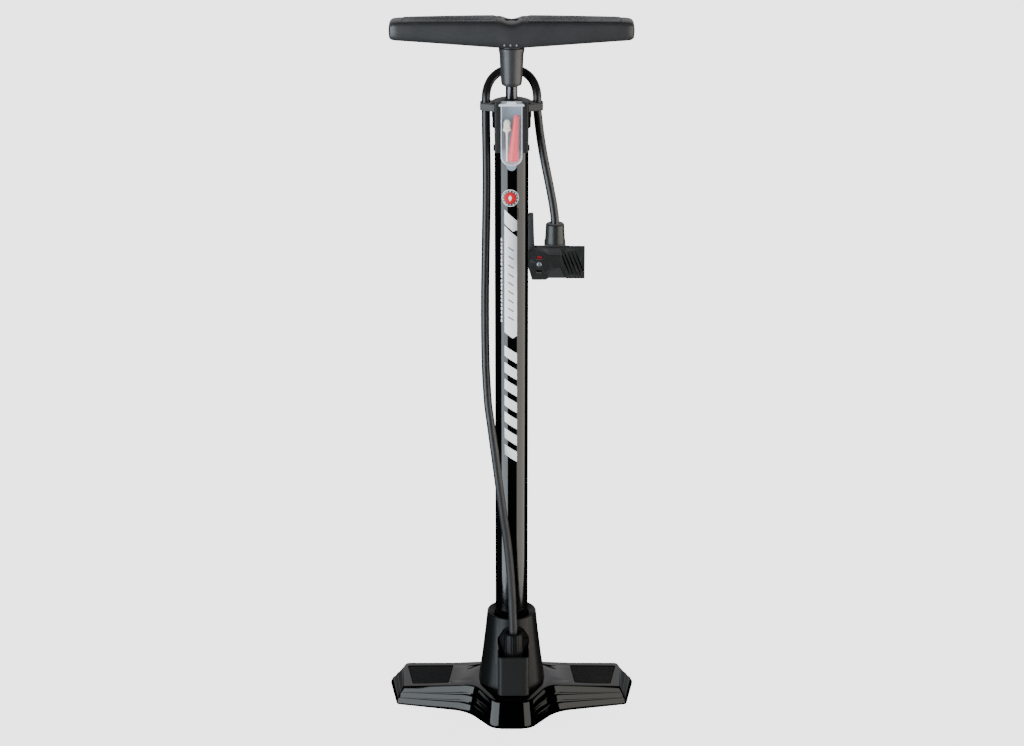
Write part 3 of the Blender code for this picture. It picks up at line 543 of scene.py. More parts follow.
def between(ring, other, share):
    return [tuple(a + (b - a) * share for a, b in zip(p, q)) for p, q in zip(ring, other)]


def circle_under(outline, radius):
    scale = [radius / hypot(x, y) for x, y in outline]
    return [(x * s, y * s) for (x, y), s in zip(outline, scale)]


def at_height(outline, height):
    return [(x, y, height) for x, y in outline]


def on_top(outline, drop=0.0):
    return [(x, y, base_top(x, y) - drop) for x, y in outline]


# Side of the base from the lip down: share of the way out to the rim, share of the way down,
# how much of the shadow line's notch applies there, and the share down of the notch's middle.
SIDE = (
    (0.15, 0.055, 0.0, 0.055), (0.42, 0.300, 0.0, 0.333), (0.44, 0.318, 1.0, 0.333),
    (0.46, 0.348, 1.0, 0.333), (0.50, 0.366, 0.0, 0.333), (0.74, 0.592, 0.0, 0.625),
    (0.77, 0.610, 1.0, 0.625), (0.79, 0.640, 1.0, 0.625), (0.84, 0.658, 0.0, 0.625),
    (0.97, 0.820, 0.0, 0.820), (1.00, 0.880, 0.0, 0.880), (1.00, 0.950, 0.0, 0.950),
    (0.985, 0.985, 0.0, 0.985), (0.95, 1.000, 0.0, 1.000),
)


def side_ring(lip, rim, out, down, notch, middle):
    ring = []
    for p, q in zip(lip, rim):
        on_arm = step(abs(q[0]), 0.034, 0.052) * step(-abs(q[0]), -0.117, -0.104) * (q[1] < 0.02)
        wide = 0.45 + 1.35 * step(-abs(q[0]), -0.108, -0.050)
        share = out - 0.26 * notch * on_arm * wide
        x, y = p[0] + (q[0] - p[0]) * share, p[1] + (q[1] - p[1]) * share
        top = base_top(*p)
        ring.append((x, y, top - (top - FOOT_H) * (middle + (down - middle) * wide)))
    return ring


def pad_outline(side, grow):
    cx = sum(x for x, _ in PAD_CORNERS) / 4
    cy = sum(y for _, y in PAD_CORNERS) / 4
    corners = []
    for x, y in PAD_CORNERS:
        away = Vector((x - cx, y - cy))
        moved = Vector((x, y)) + away.normalized() * grow * 1.4
        corners.append((side * moved.x, moved.y, 0.0018))
    return rounded(corners, 5)


def make_base():
    rim, lip, hollow = (rounded(mirrored(half), 8) for half in (RIM_HALF, LIP_HALF, HOLLOW_HALF))
    hub = circle_under(rim, HUB_R)
    boss = circle_under(rim, 0.0210)
    rings = [at_height(circle_under(rim, r), HUB_TOP) for r in (0.004, 0.020, 0.0352)]
    rings += [at_height(hub, HUB_TOP)]
    for share in (0.02, 0.045, 0.07, 0.10, 0.13, 0.17, 0.22, 0.30, 0.40, 0.52, 0.66, 0.80, 0.92):
        rings.append(on_top(between(hub, lip, share)))
    for share, drop in ((-0.02, 0.00004), (0.02, 0.00016), (0.06, 0.00042), (0.10, 0.00080)):
        rings.append([
            (x, y, base_top(*p) - drop) for (x, y), p in zip(between(lip, rim, share), lip)
        ])
    rings += [side_ring(lip, rim, *row) for row in SIDE]
    rings += [at_height(hollow, FOOT_H), on_top(hollow, WALL)]
    rings += [on_top(between(hollow, boss, share), WALL) for share in (0.3, 0.6, 0.9)]
    rings += [at_height(boss, HUB_TOP - WALL), at_height(boss, BOSS_FOOT)]
    rings += [at_height(circle_under(rim, 0.003), BOSS_FOOT)]
    base = put(
        "base_shell", loft_mesh(rings), GLOSS_BASE, "pump_body", "base_gloss", "base_casting", 30
    )
    pockets = []
    for side in (-1, 1):
        outline = pad_outline(side, 0.0006)
        pocket = [on_top(outline, 0.0019), on_top(outline, -0.0060)]
        pockets.append(put("pocket", loft_mesh(pocket)))
        pockets.append(lathe("hole", rod(0.0021, 0.0200, 0.0400), 24, (side * 0.0262, 0, 0)))
    carve(base, pockets, angle=30)
    soften(base, 0.0004, 2, 50)
    for side, word in SIDES:
        rim = ((0.0, 0.0016), (0.0, 0.0011), (0.0002, 0.0008), (0.0006, 0.0006))
        pad = inlay_mesh(
            pad_outline(side, 0.0), side, base_top, rim, range(24), (0.0560, -0.0060), 0.0026,
            0.87, 0.0006, (0.00035, 0.0008),
        )
        put("tread_pad_" + word, pad, PAD_BLACK, "pump_body", "pad_rubber", "grip_pad_" + word)


def inside(outline, x, y):
    hit = False
    for (x0, y0), (x1, y1) in zip(outline, outline[1:] + outline[:1]):
        if (y0 > y) != (y1 > y) and x < x0 + (x1 - x0) * (y - y0) / (y1 - y0):
            hit = not hit
    return hit


def pip(bm, x, y, foot, height, radius, sides=6):
    """A small closed dome."""
    rings = [
        [bm.verts.new((*point, foot + z)) for point in disc(x, y, r, sides)]
        for r, z in ((radius, -0.0002), (radius, height * 0.35), (radius * 0.55, height))
    ]
    bm.faces.new(rings[0])
    bm.faces.new(rings[-1])
    for low, high in zip(rings, rings[1:]):
        for k in range(sides):
            j = (k + 1) % sides
            bm.faces.new((low[k], low[j], high[j], high[k]))


def ridge_mesh(middles, size, edge):
    """Equal boxes with rounded edges."""
    bm = bmesh.new()
    for middle in middles:
        made = bmesh.ops.create_cube(bm, size=1.0)["verts"]
        place = Matrix.Translation(middle) @ Matrix.Diagonal((*size, 1.0))
        bmesh.ops.transform(bm, matrix=place, verts=made)
    bmesh.ops.bevel(bm, geom=bm.edges[:], offset=edge, segments=2, affect="EDGES")
    return bm


def inlay_mesh(outline, side, height, rim, rows, start, pitch, squeeze, drop, pip_size):
    """An insert that follows a surface: a rim of (inset, depth) steps, and rows of pips."""
    bm = loft_mesh([
        [(x, y, height(x, y) - depth) for x, y in inset(outline, pull)] for pull, depth in rim
    ])
    field = inset(outline, 0.0014)
    for row in rows:
        y = start[1] + row * pitch * squeeze
        for col in range(40):
            x = side * (start[0] + (col + 0.5 * (row % 2)) * pitch)
            if inside(field, x, y):
                pip(bm, x, y, height(x, y) - drop, *pip_size)
    return bm


# ---- collar and nut

COLLAR_TOP, COLLAR_BORE = 0.1081, 0.0170
NUT_R = 0.0097
RECESS_HALF = (
    (0.0138, 0.0690, 0.0005), (0.0157, 0.0835, 0.0010), (0.0157, 0.0870, 0.0030),
    (0.0098, 0.0975, 0.0020), (0.0062, 0.1003, 0.0020),
)


def recess_outline():
    right = [(OUTLET_X + x, z, radius) for x, z, radius in RECESS_HALF]
    left = [(OUTLET_X - x, z, radius) for x, z, radius in reversed(RECESS_HALF)]
    return rounded(right + left, 5)


def make_collar():
    low = HUB_TOP + 0.0003
    corners = [
        (COLLAR_BORE, low, 0), (COLLAR_BORE, COLLAR_TOP - 0.0028, 0.0004),
        (0.0186, COLLAR_TOP - 0.0021, 0.0006), (0.0227, COLLAR_TOP - 0.0001, 0.0006),
        (0.0241, COLLAR_TOP - 0.0006, 0.0007), (0.0262, 0.0870, 0.0300), (0.0294, 0.0600, 0.0600),
        (0.0322, 0.0400, 0.0200), (0.0329, low + 0.0006, 0.0004), (0.0329, low, 0),
    ]
    collar = lathe("collar", corners, 128, look=COLLAR_BLACK, node="base_collar")
    x0, x1 = OUTLET_X - 0.0155, OUTLET_X + 0.0155
    corners = [(x0, -0.0180, 0), (x0, -0.0440, 0.0050), (x1, -0.0440, 0.0050), (x1, -0.0180, 0)]
    outline = rounded(corners, 8)
    block = prism("block", outline, low, 0.0750)
    carve(collar, [block], "UNION")
    recess = prism("recess", recess_outline(), -0.0412, -0.0200, axis="Y")
    room = box_outline((OUTLET_X - 0.0119, OUTLET_X + 0.0119), (-0.0410, -0.0120))
    chamber = prism("chamber", room, low - 0.002, 0.0660)
    spout = lathe("spout", rod(0.0040, 0.0600, 0.0720), 32, (OUTLET_X, OUTLET_Y, 0))
    bore = lathe("bore", rod(COLLAR_BORE, low - 0.002, 0.0700), 128)
    carve(collar, [recess, chamber, spout, bore])
    soften(collar, 0.0005, 3, 42)


def make_nut():
    """Round nut with shallow flutes and a rounded foot."""
    sides, flutes = 144, 18
    profile = [
        (0.0044, 0.0694, 0.0), (0.0060, 0.0693, 0.0), (0.0078, 0.0698, 0.0), (0.0088, 0.0712, 0.0),
        (0.0093, 0.0732, 0.2), (0.0096, 0.0756, 0.8), (NUT_R, 0.0775, 1.0),
        (NUT_R - 0.0001, 0.0860, 1.0), (NUT_R - 0.0004, 0.0945, 1.0), (NUT_R - 0.0007, 0.0957, 0.5),
        (NUT_R - 0.0012, 0.0965, 0.0), (NUT_R - 0.0019, 0.0968, 0.0), (0.0058, 0.0968, 0.0),
        (0.0050, 0.0963, 0.0), (0.0046, 0.0954, 0.0), (0.0044, 0.0930, 0.0),
    ]
    rings = []
    for radius, z, flute in profile:
        ring = []
        for k in range(sides):
            turn = tau * k / sides
            wave = max(0.0, cos(flutes * turn)) ** 2
            r = radius - 0.00026 * flute * wave
            ring.append((OUTLET_X + r * cos(turn), OUTLET_Y + r * sin(turn), z))
        rings.append(ring)
    nut = loft_mesh(rings, closed=True)
    put("fluted_nut", nut, COLLAR_BLACK, node="hose_nut", angle=40)


# ---- barrel, decals and cap

BARREL_R = 0.0159
PRINT = 0.00005  # thickness of the decals


def make_barrel():
    lathe(
        "lacquered_barrel", tube(0.0143, BARREL_R, 0.0503, 0.6035, 0.0003), 160,
        look=GLOSS_BARREL, slot="barrel_gloss", node="barrel",
    )


def decal(name, outline, look, lift=0.00007, slices=16):
    """A printed shape on the front of the barrel. The outline is (arc distance, height)."""
    bm = bmesh.new()
    radius = BARREL_R + lift
    low = min(u for u, _ in outline)
    high = max(u for u, _ in outline)
    verts = [bm.verts.new((u, v, 0.0)) for u, v in outline]
    bm.faces.new(verts)
    for k in range(1, slices):
        u = low + (high - low) * k / slices
        bmesh.ops.bisect_plane(
            bm, geom=bm.verts[:] + bm.edges[:] + bm.faces[:], plane_co=(u, 0, 0), plane_no=(1, 0, 0)
        )
    bmesh.ops.triangulate(bm, faces=bm.faces)
    top = bmesh.ops.extrude_face_region(bm, geom=bm.faces[:])
    for v in top["geom"]:
        if isinstance(v, bmesh.types.BMVert):
            v.co.z = PRINT
    for v in bm.verts:
        turn = v.co.x / BARREL_R
        r = radius - PRINT + v.co.z
        v.co = Vector((r * sin(turn), -r * cos(turn), v.co.y))
    return put(name, bm, look, "pump_body", "barrel_gloss")


def slanted(u0, u1, z_low, z_high, rise):
    """A band with both ends sloping up to the right."""
    return [(u0, z_low), (u1, z_low + rise), (u1, z_high + rise), (u0, z_high)]


def pointed(u0, u1, top_left, top_right, low_left, low_right, tip):
    """A band with a slanted top and a blunt point at the bottom."""
    u = u0 + 0.66 * (u1 - u0)
    return [(u0, low_left), (u, tip), (u1, low_right), (u1, top_right), (u0, top_left)]


def make_decals():
    x, z = -0.0013, 0.5367
    decal("badge_rim", disc(x, z, 0.0082), WHITE_PRINT)
    decal("badge_field", disc(x, z, 0.0077), GREY_PRINT, 0.00012)
    decal("badge_disc", disc(x, z, 0.0054), RED_PRINT, 0.00017)
    diamond = [(x - 0.0017, z), (x, z - 0.0029), (x + 0.0017, z), (x, z + 0.0029)]
    decal("badge_diamond", diamond, WHITE_PRINT, 0.00022, 4)
    for k in range(14):
        turn = tau * (k + 0.5) / 14
        dot = disc(x + 0.0066 * cos(turn), z + 0.0066 * sin(turn), 0.0005, 8)
        decal(f"badge_dot_{k}", dot, WHITE_PRINT, 0.00017, 2)
    u0, u1 = -0.0069, 0.0052
    decal("stripe", pointed(u0, u1, 0.5255, 0.5145, 0.5118, 0.5055, 0.5042), WHITE_PRINT)
    decal("band", pointed(u0, u1, 0.5096, 0.4988, 0.4045, 0.4010, 0.3985), WHITE_PRINT)
    for k in range(9):
        low = 0.4165 + 0.0086 * k
        mark = slanted(-0.0032, 0.0020, low + 0.0030, low + 0.0042, -0.0034)
        decal(f"band_mark_{k}", mark, GREY_PRINT, 0.00012, 6)
    for k in range(7):
        low = 0.2800 + 0.0168 * k
        decal(f"bar_{k}", slanted(u0, u1, low, low + 0.0104, -0.0080), WHITE_PRINT)
    for k in range(21):
        low = 0.4140 + 0.0040 * k
        mark = slanted(-0.0107, -0.0094, low, low + (0.0030, 0.0024, 0.0032)[k % 3], 0.0)
        decal(f"side_mark_{k}", mark, WHITE_PRINT, 0.00007, 2)


def make_cap():
    corners = [
        (0.0162, 0.6014, 0), (0.0180, 0.6014, 0.0004), (0.0180, 0.6105, 0.0003),
        (0.0184, 0.6110, 0.0003), (0.0184, 0.6170, 0.0005), (0.0197, 0.6182, 0.0008),
        (0.0198, 0.6243, 0.0008), (0.0182, 0.6258, 0.0040), (0.0145, 0.6270, 0.0060),
        (0.0112, 0.6276, 0.0010), (0.0108, 0.6273, 0.0002), (0.0102, 0.6274, 0.0002),
        (0.0098, 0.6279, 0.0003), (0.0078, 0.6281, 0), (0.0078, 0.6045, 0), (0.0162, 0.6045, 0),
    ]
    cap = lathe("cap_dome", corners, 128, look=CAP_BLACK, node="top_cap")
    soften(cap, 0.0003, 2, 42)
    for side, word in SIDES:
        root, tip = side * 0.0140, side * 0.0293
        corners = [
            (root, -0.0128, 0), (tip, -0.0058, 0.0022), (tip, 0.0068, 0.0045), (root, 0.0085, 0)
        ]
        wing = prism(
            "hose_clip_" + word, rounded(corners, 10), 0.6180, 0.6248, 0.0005,
            look=SPARK_BLACK,
        )
        carve(wing, [
            lathe("hole", rod(HOSE_R + 0.0004, 0.6100, 0.6400), 48, (side * CLIP_X, 0, 0)),
            lathe("room", rod(0.0150, 0.6100, 0.6400), 96),
        ])
        soften(wing, 0.0003, 2, 42)
    lathe(
        "guide_bush", [
            (0.0058, 0.6050, 0), (0.0075, 0.6050, 0), (0.0075, 0.6282, 0.0003),
            (0.0069, 0.6288, 0.0003), (0.0062, 0.6288, 0.0003), (0.0058, 0.6284, 0.0002),
        ],
        96, look=MATTE_BLACK, node="rod_guide_bush",
    )


# ---- bracket and tray

TRAY_FRONT, TRAY_BACK, TRAY_HALF_W = -0.0335, -0.0208, 0.0098
TRAY_Z = (0.5723, 0.6305)
HINGE_Y, HINGE_Z = -0.0268, 0.6290


def make_bracket():
    back, plate, front = -0.0183, -0.0202, -0.0312
    low, high = 0.5840, 0.6318
    rail_in, rail_out = TRAY_HALF_W + 0.0003, 0.0153
    place = {"look": HEAD_BLACK}
    corners = [
        (-rail_out, back, 0.0003), (-rail_out, front, 0.0012), (-rail_in, front, 0.0006),
        (-rail_in, plate, 0.0003), (rail_in, plate, 0.0003), (rail_in, front, 0.0006),
        (rail_out, front, 0.0012), (rail_out, back, 0.0003),
    ]
    bracket = prism(
        "tray_bracket", rounded(corners[::-1], 4), low, high,
        node="accessory_bracket", **place
    )
    snaps, cuts = [], []
    for side in (-1, 1):
        x = sorted((side * 0.0145, side * 0.0168))
        snap = box_outline(x, (-0.0240, -0.0150))
        snaps.append(prism("snap", snap, low + 0.0002, low + 0.0040, 0.0002))
        rib = sorted((side * 0.0145, side * 0.0158))
        snaps.append(prism("rib", box_outline(rib, (-0.0296, -0.0211)), 0.5990, 0.6280, 0.0002))
    carve(bracket, snaps, "UNION")
    room = box_outline((-rail_in - 0.0005, rail_in + 0.0005), (plate - 0.001, back + 0.001))
    cuts.append(prism("room", room, 0.6160, high + 0.001))
    cuts.append(lathe("hinge", rod(0.0015, -0.0200, 0.0200), 24, (0, HINGE_Y, HINGE_Z), "X"))
    carve(bracket, cuts)
    soften(bracket, 0.00025, 2, 45)


def tray_outline(pull):
    half, (low, high) = TRAY_HALF_W - pull, TRAY_Z
    low, high = low + pull, high - pull
    big, small = 0.0085 - pull, max(0.0003, 0.0012 - pull * 0.5)
    corners = [(-half, low, big), (half, low, big), (half, high, small), (-half, high, small)]
    return rounded(corners, 12)


def make_tray():
    place = {"body": "tray", "slot": "clear_plastic"}
    outer, inner = tray_outline(0.0), tray_outline(0.0008)
    soft = 0.00025
    rings = [
        placed(inset(outer, soft), TRAY_FRONT, "Y"),
        placed(outer, TRAY_FRONT + soft, "Y"),
        placed(outer, TRAY_BACK - soft, "Y"),
        placed(inset(outer, soft), TRAY_BACK, "Y"),
        placed(inner, TRAY_BACK, "Y"),
        placed(inner, TRAY_FRONT, "Y"),
    ]
    frame_piece = put(
        "tray_frame", loft_mesh(rings, closed=True), FROSTED, node="accessory_tray", **place
    )
    shapes = []
    top = TRAY_Z[1]
    tab = [
        (-0.0043, top - 0.0005, 0), (0.0043, top - 0.0005, 0), (0.0043, top + 0.0021, 0.0006),
        (-0.0043, top + 0.0021, 0.0006),
    ]
    tab_y = (TRAY_FRONT + 0.0001, TRAY_FRONT + 0.0016)
    shapes.append(prism("tab", rounded(tab, 4), *tab_y, 0.0002, "Y"))
    for side in (-1, 1):
        ends = sorted((side * 0.0094, side * 0.0124))
        shapes.append(lathe("ear", rod(0.0011, *ends, 0.0002), 32, (0, HINGE_Y, HINGE_Z), "X"))
    carve(frame_piece, shapes, "UNION")
    corners = [(-0.0118, 0.6285), (0.0118, 0.6285), (0.0112, 0.6305), (-0.0112, 0.6305)]
    flange = rounded([(*corner, 0.0004) for corner in corners], 3)
    pane = tray_outline(0.0010)
    tongue = [(0.0047, TRAY_Z[0] + 0.0004), (-0.0047, TRAY_Z[0] + 0.0004)]
    for k in range(25):
        turn = pi * k / 24
        tongue.append((-0.0047 * cos(turn), TRAY_Z[0] - 0.0047 * sin(turn)))
    for name, outline, y, low, high, edge, look in (
        ("tray_lip", flange, TRAY_FRONT, -0.0004, 0.0012, 0.0003, FROSTED),
        ("tray_window", pane, TRAY_FRONT, 0.0002, 0.0012, 0.0001, CLEAR),
        ("tray_back", pane, TRAY_BACK, -0.0012, -0.0002, 0.0001, SLATE),
        ("tray_tongue", tongue, TRAY_FRONT, 0.0003, 0.0016, 0.0002, SLATE),
    ):
        prism(name, outline, y + low, y + high, edge, "Y", look=look, **place)


def make_adapters():
    x, y = -0.0043, -0.0284
    body = lathe(
        "needle_body", [
            (0.0, 0.6075, 0), (0.0030, 0.6075, 0.0002), (0.0036, 0.6066, 0.0003),
            (0.0036, 0.6046, 0.0003), (0.0016, 0.6036, 0.0004), (0.0009, 0.6010, 0.0006),
            (0.0008, 0.5760, 0.0002), (0.0006, 0.5753, 0.0002), (0.0, 0.5752, 0),
        ],
        40, (x, y, 0), look=CREAM, body="tray", slot="cream_plastic", node="ball_needle",
    )
    nut = prism("hex", disc(x, y, 0.0030, 6), 0.6070, 0.6128, 0.0002)
    neck = lathe("neck", rod(0.0020, 0.6120, 0.6145, 0.0003), 32, (x, y, 0))
    carve(body, [nut, neck], "UNION")
    carve(body, [lathe("bore", rod(0.0009, 0.6050, 0.6160), 24, (x, y, 0))])
    low = 0.5758
    corners = [
        (0.0, 0.6190, 0), (0.0019, 0.6190, 0.0003), (0.0021, 0.6176, 0.0002),
        (0.0026, 0.6172, 0.0002), (0.0029, 0.6120, 0.0010), (0.0043, 0.5850, 0.0020),
        (0.0045, 0.5838, 0.0002), (0.0047, 0.5834, 0.0002), (0.0047, low, 0.0003), (0.0, low, 0),
    ]
    bm = lathe_mesh(rounded(corners, 4), 64)
    lean = Vector((0.0034, 0.0, 0.0445)).normalized()
    turn = Vector((0, 0, 1)).rotation_difference(lean)
    foot = Vector((0.0014, -0.0268, low))
    place = Matrix.Translation(foot) @ turn.to_matrix().to_4x4() @ Matrix.Translation((0, 0, -low))
    bmesh.ops.transform(bm, matrix=place, verts=bm.verts)
    put("cone_adapter", bm, RED, "tray", "red_plastic", "inflation_cone")


# ---- handle and rod

STATIONS = (
    (0.0000, 0.0186, 0.7008, 0.6767), (0.0030, 0.0186, 0.7012, 0.6767),
    (0.0065, 0.0184, 0.7023, 0.6768), (0.0095, 0.0183, 0.7034, 0.6769),
    (0.0120, 0.0181, 0.7036, 0.6771), (0.0300, 0.0174, 0.7036, 0.6783),
    (0.0600, 0.0164, 0.7033, 0.6804), (0.0900, 0.0154, 0.7028, 0.6825),
    (0.1040, 0.0149, 0.7024, 0.6834), (0.1084, 0.0144, 0.7019, 0.6838),
    (0.1109, 0.0133, 0.7009, 0.6846), (0.1122, 0.0113, 0.6990, 0.6861),
    (0.1127, 0.0080, 0.6958, 0.6889),
)


def station_at(x):
    for a, b in zip(STATIONS, STATIONS[1:]):
        if a[0] <= x <= b[0]:
            share = (x - a[0]) / (b[0] - a[0])
            return [p + (q - p) * share for p, q in zip(a[1:], b[1:])]
    return list(STATIONS[-1][1:])


def handle_top(x, _y):
    return station_at(abs(x))[1]


def handle_section(half_depth, top, low, points=56, power=4.2):
    middle, half_height = (top + low) / 2, (top - low) / 2
    ring = []
    for k in range(points):
        turn = tau * (k + 0.5) / points
        c, s = cos(turn), sin(turn)
        size = (abs(c) ** power + abs(s) ** power) ** (-1 / power)
        narrow = 1.0 - 0.16 * max(0.0, -s * size)
        ring.append((half_depth * c * size * narrow, middle + half_height * s * size))
    return ring


def grip_outline(side, grow):
    inside_x, outside_x = 0.0105 - grow, 0.1000 + grow
    rows = []
    for k in range(13):
        x = inside_x + 0.0060 + (outside_x - inside_x - 0.0060) * k / 12
        rows.append((x, station_at(x)[0] * 0.80 + grow))
    front = [(side * x, -y) for x, y in rows]
    back = [(side * x, y) for x, y in rows]
    tip = [(side * inside_x, rows[0][1] * 0.45), (side * inside_x, -rows[0][1] * 0.45)]
    return tip + front + back[::-1]


def make_handle():
    xs = [a[0] for a in STATIONS]
    fine = []
    for a, b in zip(xs, xs[1:]):
        count = max(1, round((b - a) / 0.004))
        fine += [a + (b - a) * k / count for k in range(count)]
    fine.append(xs[-1])
    samples = [-x for x in reversed(fine)] + fine[1:]
    rings = [[(x, y, z) for y, z in handle_section(*station_at(abs(x)))] for x in samples]
    handle = put(
        "t_handle", loft_mesh(rings), HANDLE_BLACK, "plunger", "handle_plastic", "handle", 32
    )
    shank = lathe("shank", [
        (0.0, 0.6880, 0), (0.0104, 0.6880, 0), (0.0104, 0.6764, 0.0003), (0.0121, 0.6760, 0.0004),
        (0.0119, 0.6735, 0.0030), (0.0111, 0.6690, 0.0080), (0.0108, 0.6600, 0.0150),
        (0.0098, 0.6440, 0.0030), (0.0090, 0.6412, 0.0012), (0.0072, 0.6403, 0.0008),
        (0.0, 0.6403, 0),
    ], 128)
    carve(handle, [shank], "UNION", 32)
    pockets = [lathe("bore", [
        (0.0, 0.7100, 0), (0.0066, 0.7100, 0), (0.0066, 0.6951, 0), (0.0044, 0.6951, 0),
        (0.0044, 0.6803, 0), (0.0058, 0.6803, 0), (0.0058, 0.6300, 0), (0.0, 0.6300, 0),
    ], 64)]
    for side in (-1, 1):
        outline = grip_outline(side, 0.0004)
        floor = [(x, y, handle_top(x, y) - 0.0014) for x, y in outline]
        pockets.append(put("pocket", loft_mesh([floor, at_height(outline, 0.7100)])))
    carve(handle, pockets, angle=32)
    soften(handle, 0.0004, 2, 42)
    for side, word in SIDES:
        rim = ((0.0, 0.0011), (0.0, 0.0006), (0.0002, 0.0004), (0.0005, 0.0003))
        grip = inlay_mesh(
            grip_outline(side, 0.0), side, handle_top, rim, range(-6, 7), (0.0110, 0.0), 0.0031,
            0.8, 0.0003, (0.0002, 0.0009, 8),
        )
        put("grip_inlay_" + word, grip, GRIP_BLACK, "plunger", "pad_rubber", "handle_grip_" + word)
    # The ribs take the light grey material, a painted highlight of their glints.
    middles = [(s * x, s * 0.0158, 0.6815) for x in (-0.0046, 0.0010, 0.0066) for s in (-1, 1)]
    ribs = ridge_mesh(middles, (0.0015, 0.0032, 0.0020), 0.0004)
    put("neck_ribs", ribs, RIB_PAINTED_HIGHLIGHT, "plunger", "handle_plastic")


def make_rod():
    lathe(
        "plunger_rod", [
            (0.0042, 0.1097, 0), (0.0042, 0.6800, 0), (0.0055, 0.6800, 0.0003),
            (0.0055, 0.0997, 0.0003), (0.0030, 0.0997, 0), (0.0030, 0.0700, 0.0003),
            (0.0020, 0.0700, 0), (0.0020, 0.1097, 0),
        ],
        96, look=CHROME, body="plunger", slot="rod_steel", node="rod",
    )
    screw = lathe(
        "handle_bolt", [
            (0.0, 0.6990, 0), (0.0050, 0.6990, 0.0006), (0.0062, 0.6982, 0.0005),
            (0.0062, 0.6954, 0.0002), (0.0039, 0.6954, 0), (0.0039, 0.6600, 0.0003),
            (0.0, 0.6600, 0),
        ],
        64, look=STEEL, body="plunger", slot="steel", node="handle_screw",
    )
    carve(screw, [prism("key", disc(0, 0, 0.0029, 6), 0.6968, 0.7020)])
    soften(screw, 0.0001, 2, 45)
    plug = [(0.0, 0.7005, 0), (0.0064, 0.7003, 0.0003), (0.0064, 0.6996, 0.0001), (0.0, 0.6996, 0)]
    lathe("screw_plug", plug, 64, look=HANDLE_BLACK, body="plunger", slot="handle_plastic")


# ---- valve head

HEAD_FRONT, HEAD_BACK = HEAD_Y - 0.01075, HEAD_Y + 0.01075
HEAD_TOP = 0.4963
PIN_X, PIN_Z, PIN_R = 0.0257, 0.4782, 0.0023
CHUCK_Z, BORE_R = 0.4800, 0.0065
CAP_X = (0.0508, 0.0683)


def head_slope(low, high):
    """Cutter that lets the head's top fall away towards the back."""
    front, back = HEAD_FRONT + 0.0010, HEAD_BACK + 0.0020
    drop = HEAD_TOP - (back - front) * 0.27
    start = (front - 0.0040, HEAD_TOP + 0.0040 * 0.27)
    outline = [start, (back, drop), (back, HEAD_TOP + 0.0200), (start[0], HEAD_TOP + 0.0200)]
    return prism("slope", outline, low, high, axis="X")


def groove_outline(middle, x_low, x_high, steps=14):
    """A slanted lens shape."""
    lean, reach = 0.0047, 0.0122
    first = max(-1.0, (x_low - middle) / lean)
    last = min(1.0, (x_high - middle) / lean)
    if last - first < 0.1:
        return []
    left, right = [], []
    for k in range(steps + 1):
        s = first + (last - first) * k / steps
        half = 0.00008 + 0.00074 * (1 - s * s)
        x, z = middle + lean * s, 0.4797 - reach * s
        left.append((x - half, z))
        right.append((x + half, z))
    return left + right[::-1]


def grooves(x_low, x_high):
    """Cutters for the slanted grip grooves on both faces, kept between two distances."""
    cutters = []
    for face, out in ((HEAD_FRONT, -1), (HEAD_BACK, 1)):
        for middle in (0.0500, 0.0532, 0.0567, 0.0603, 0.0638):
            outline = groove_outline(middle, x_low, x_high)
            if outline:
                low, high = sorted((face - out * 0.0026, face + out * 0.0020))
                cutters.append(prism("groove", outline, low, high, axis="Y"))
    return cutters


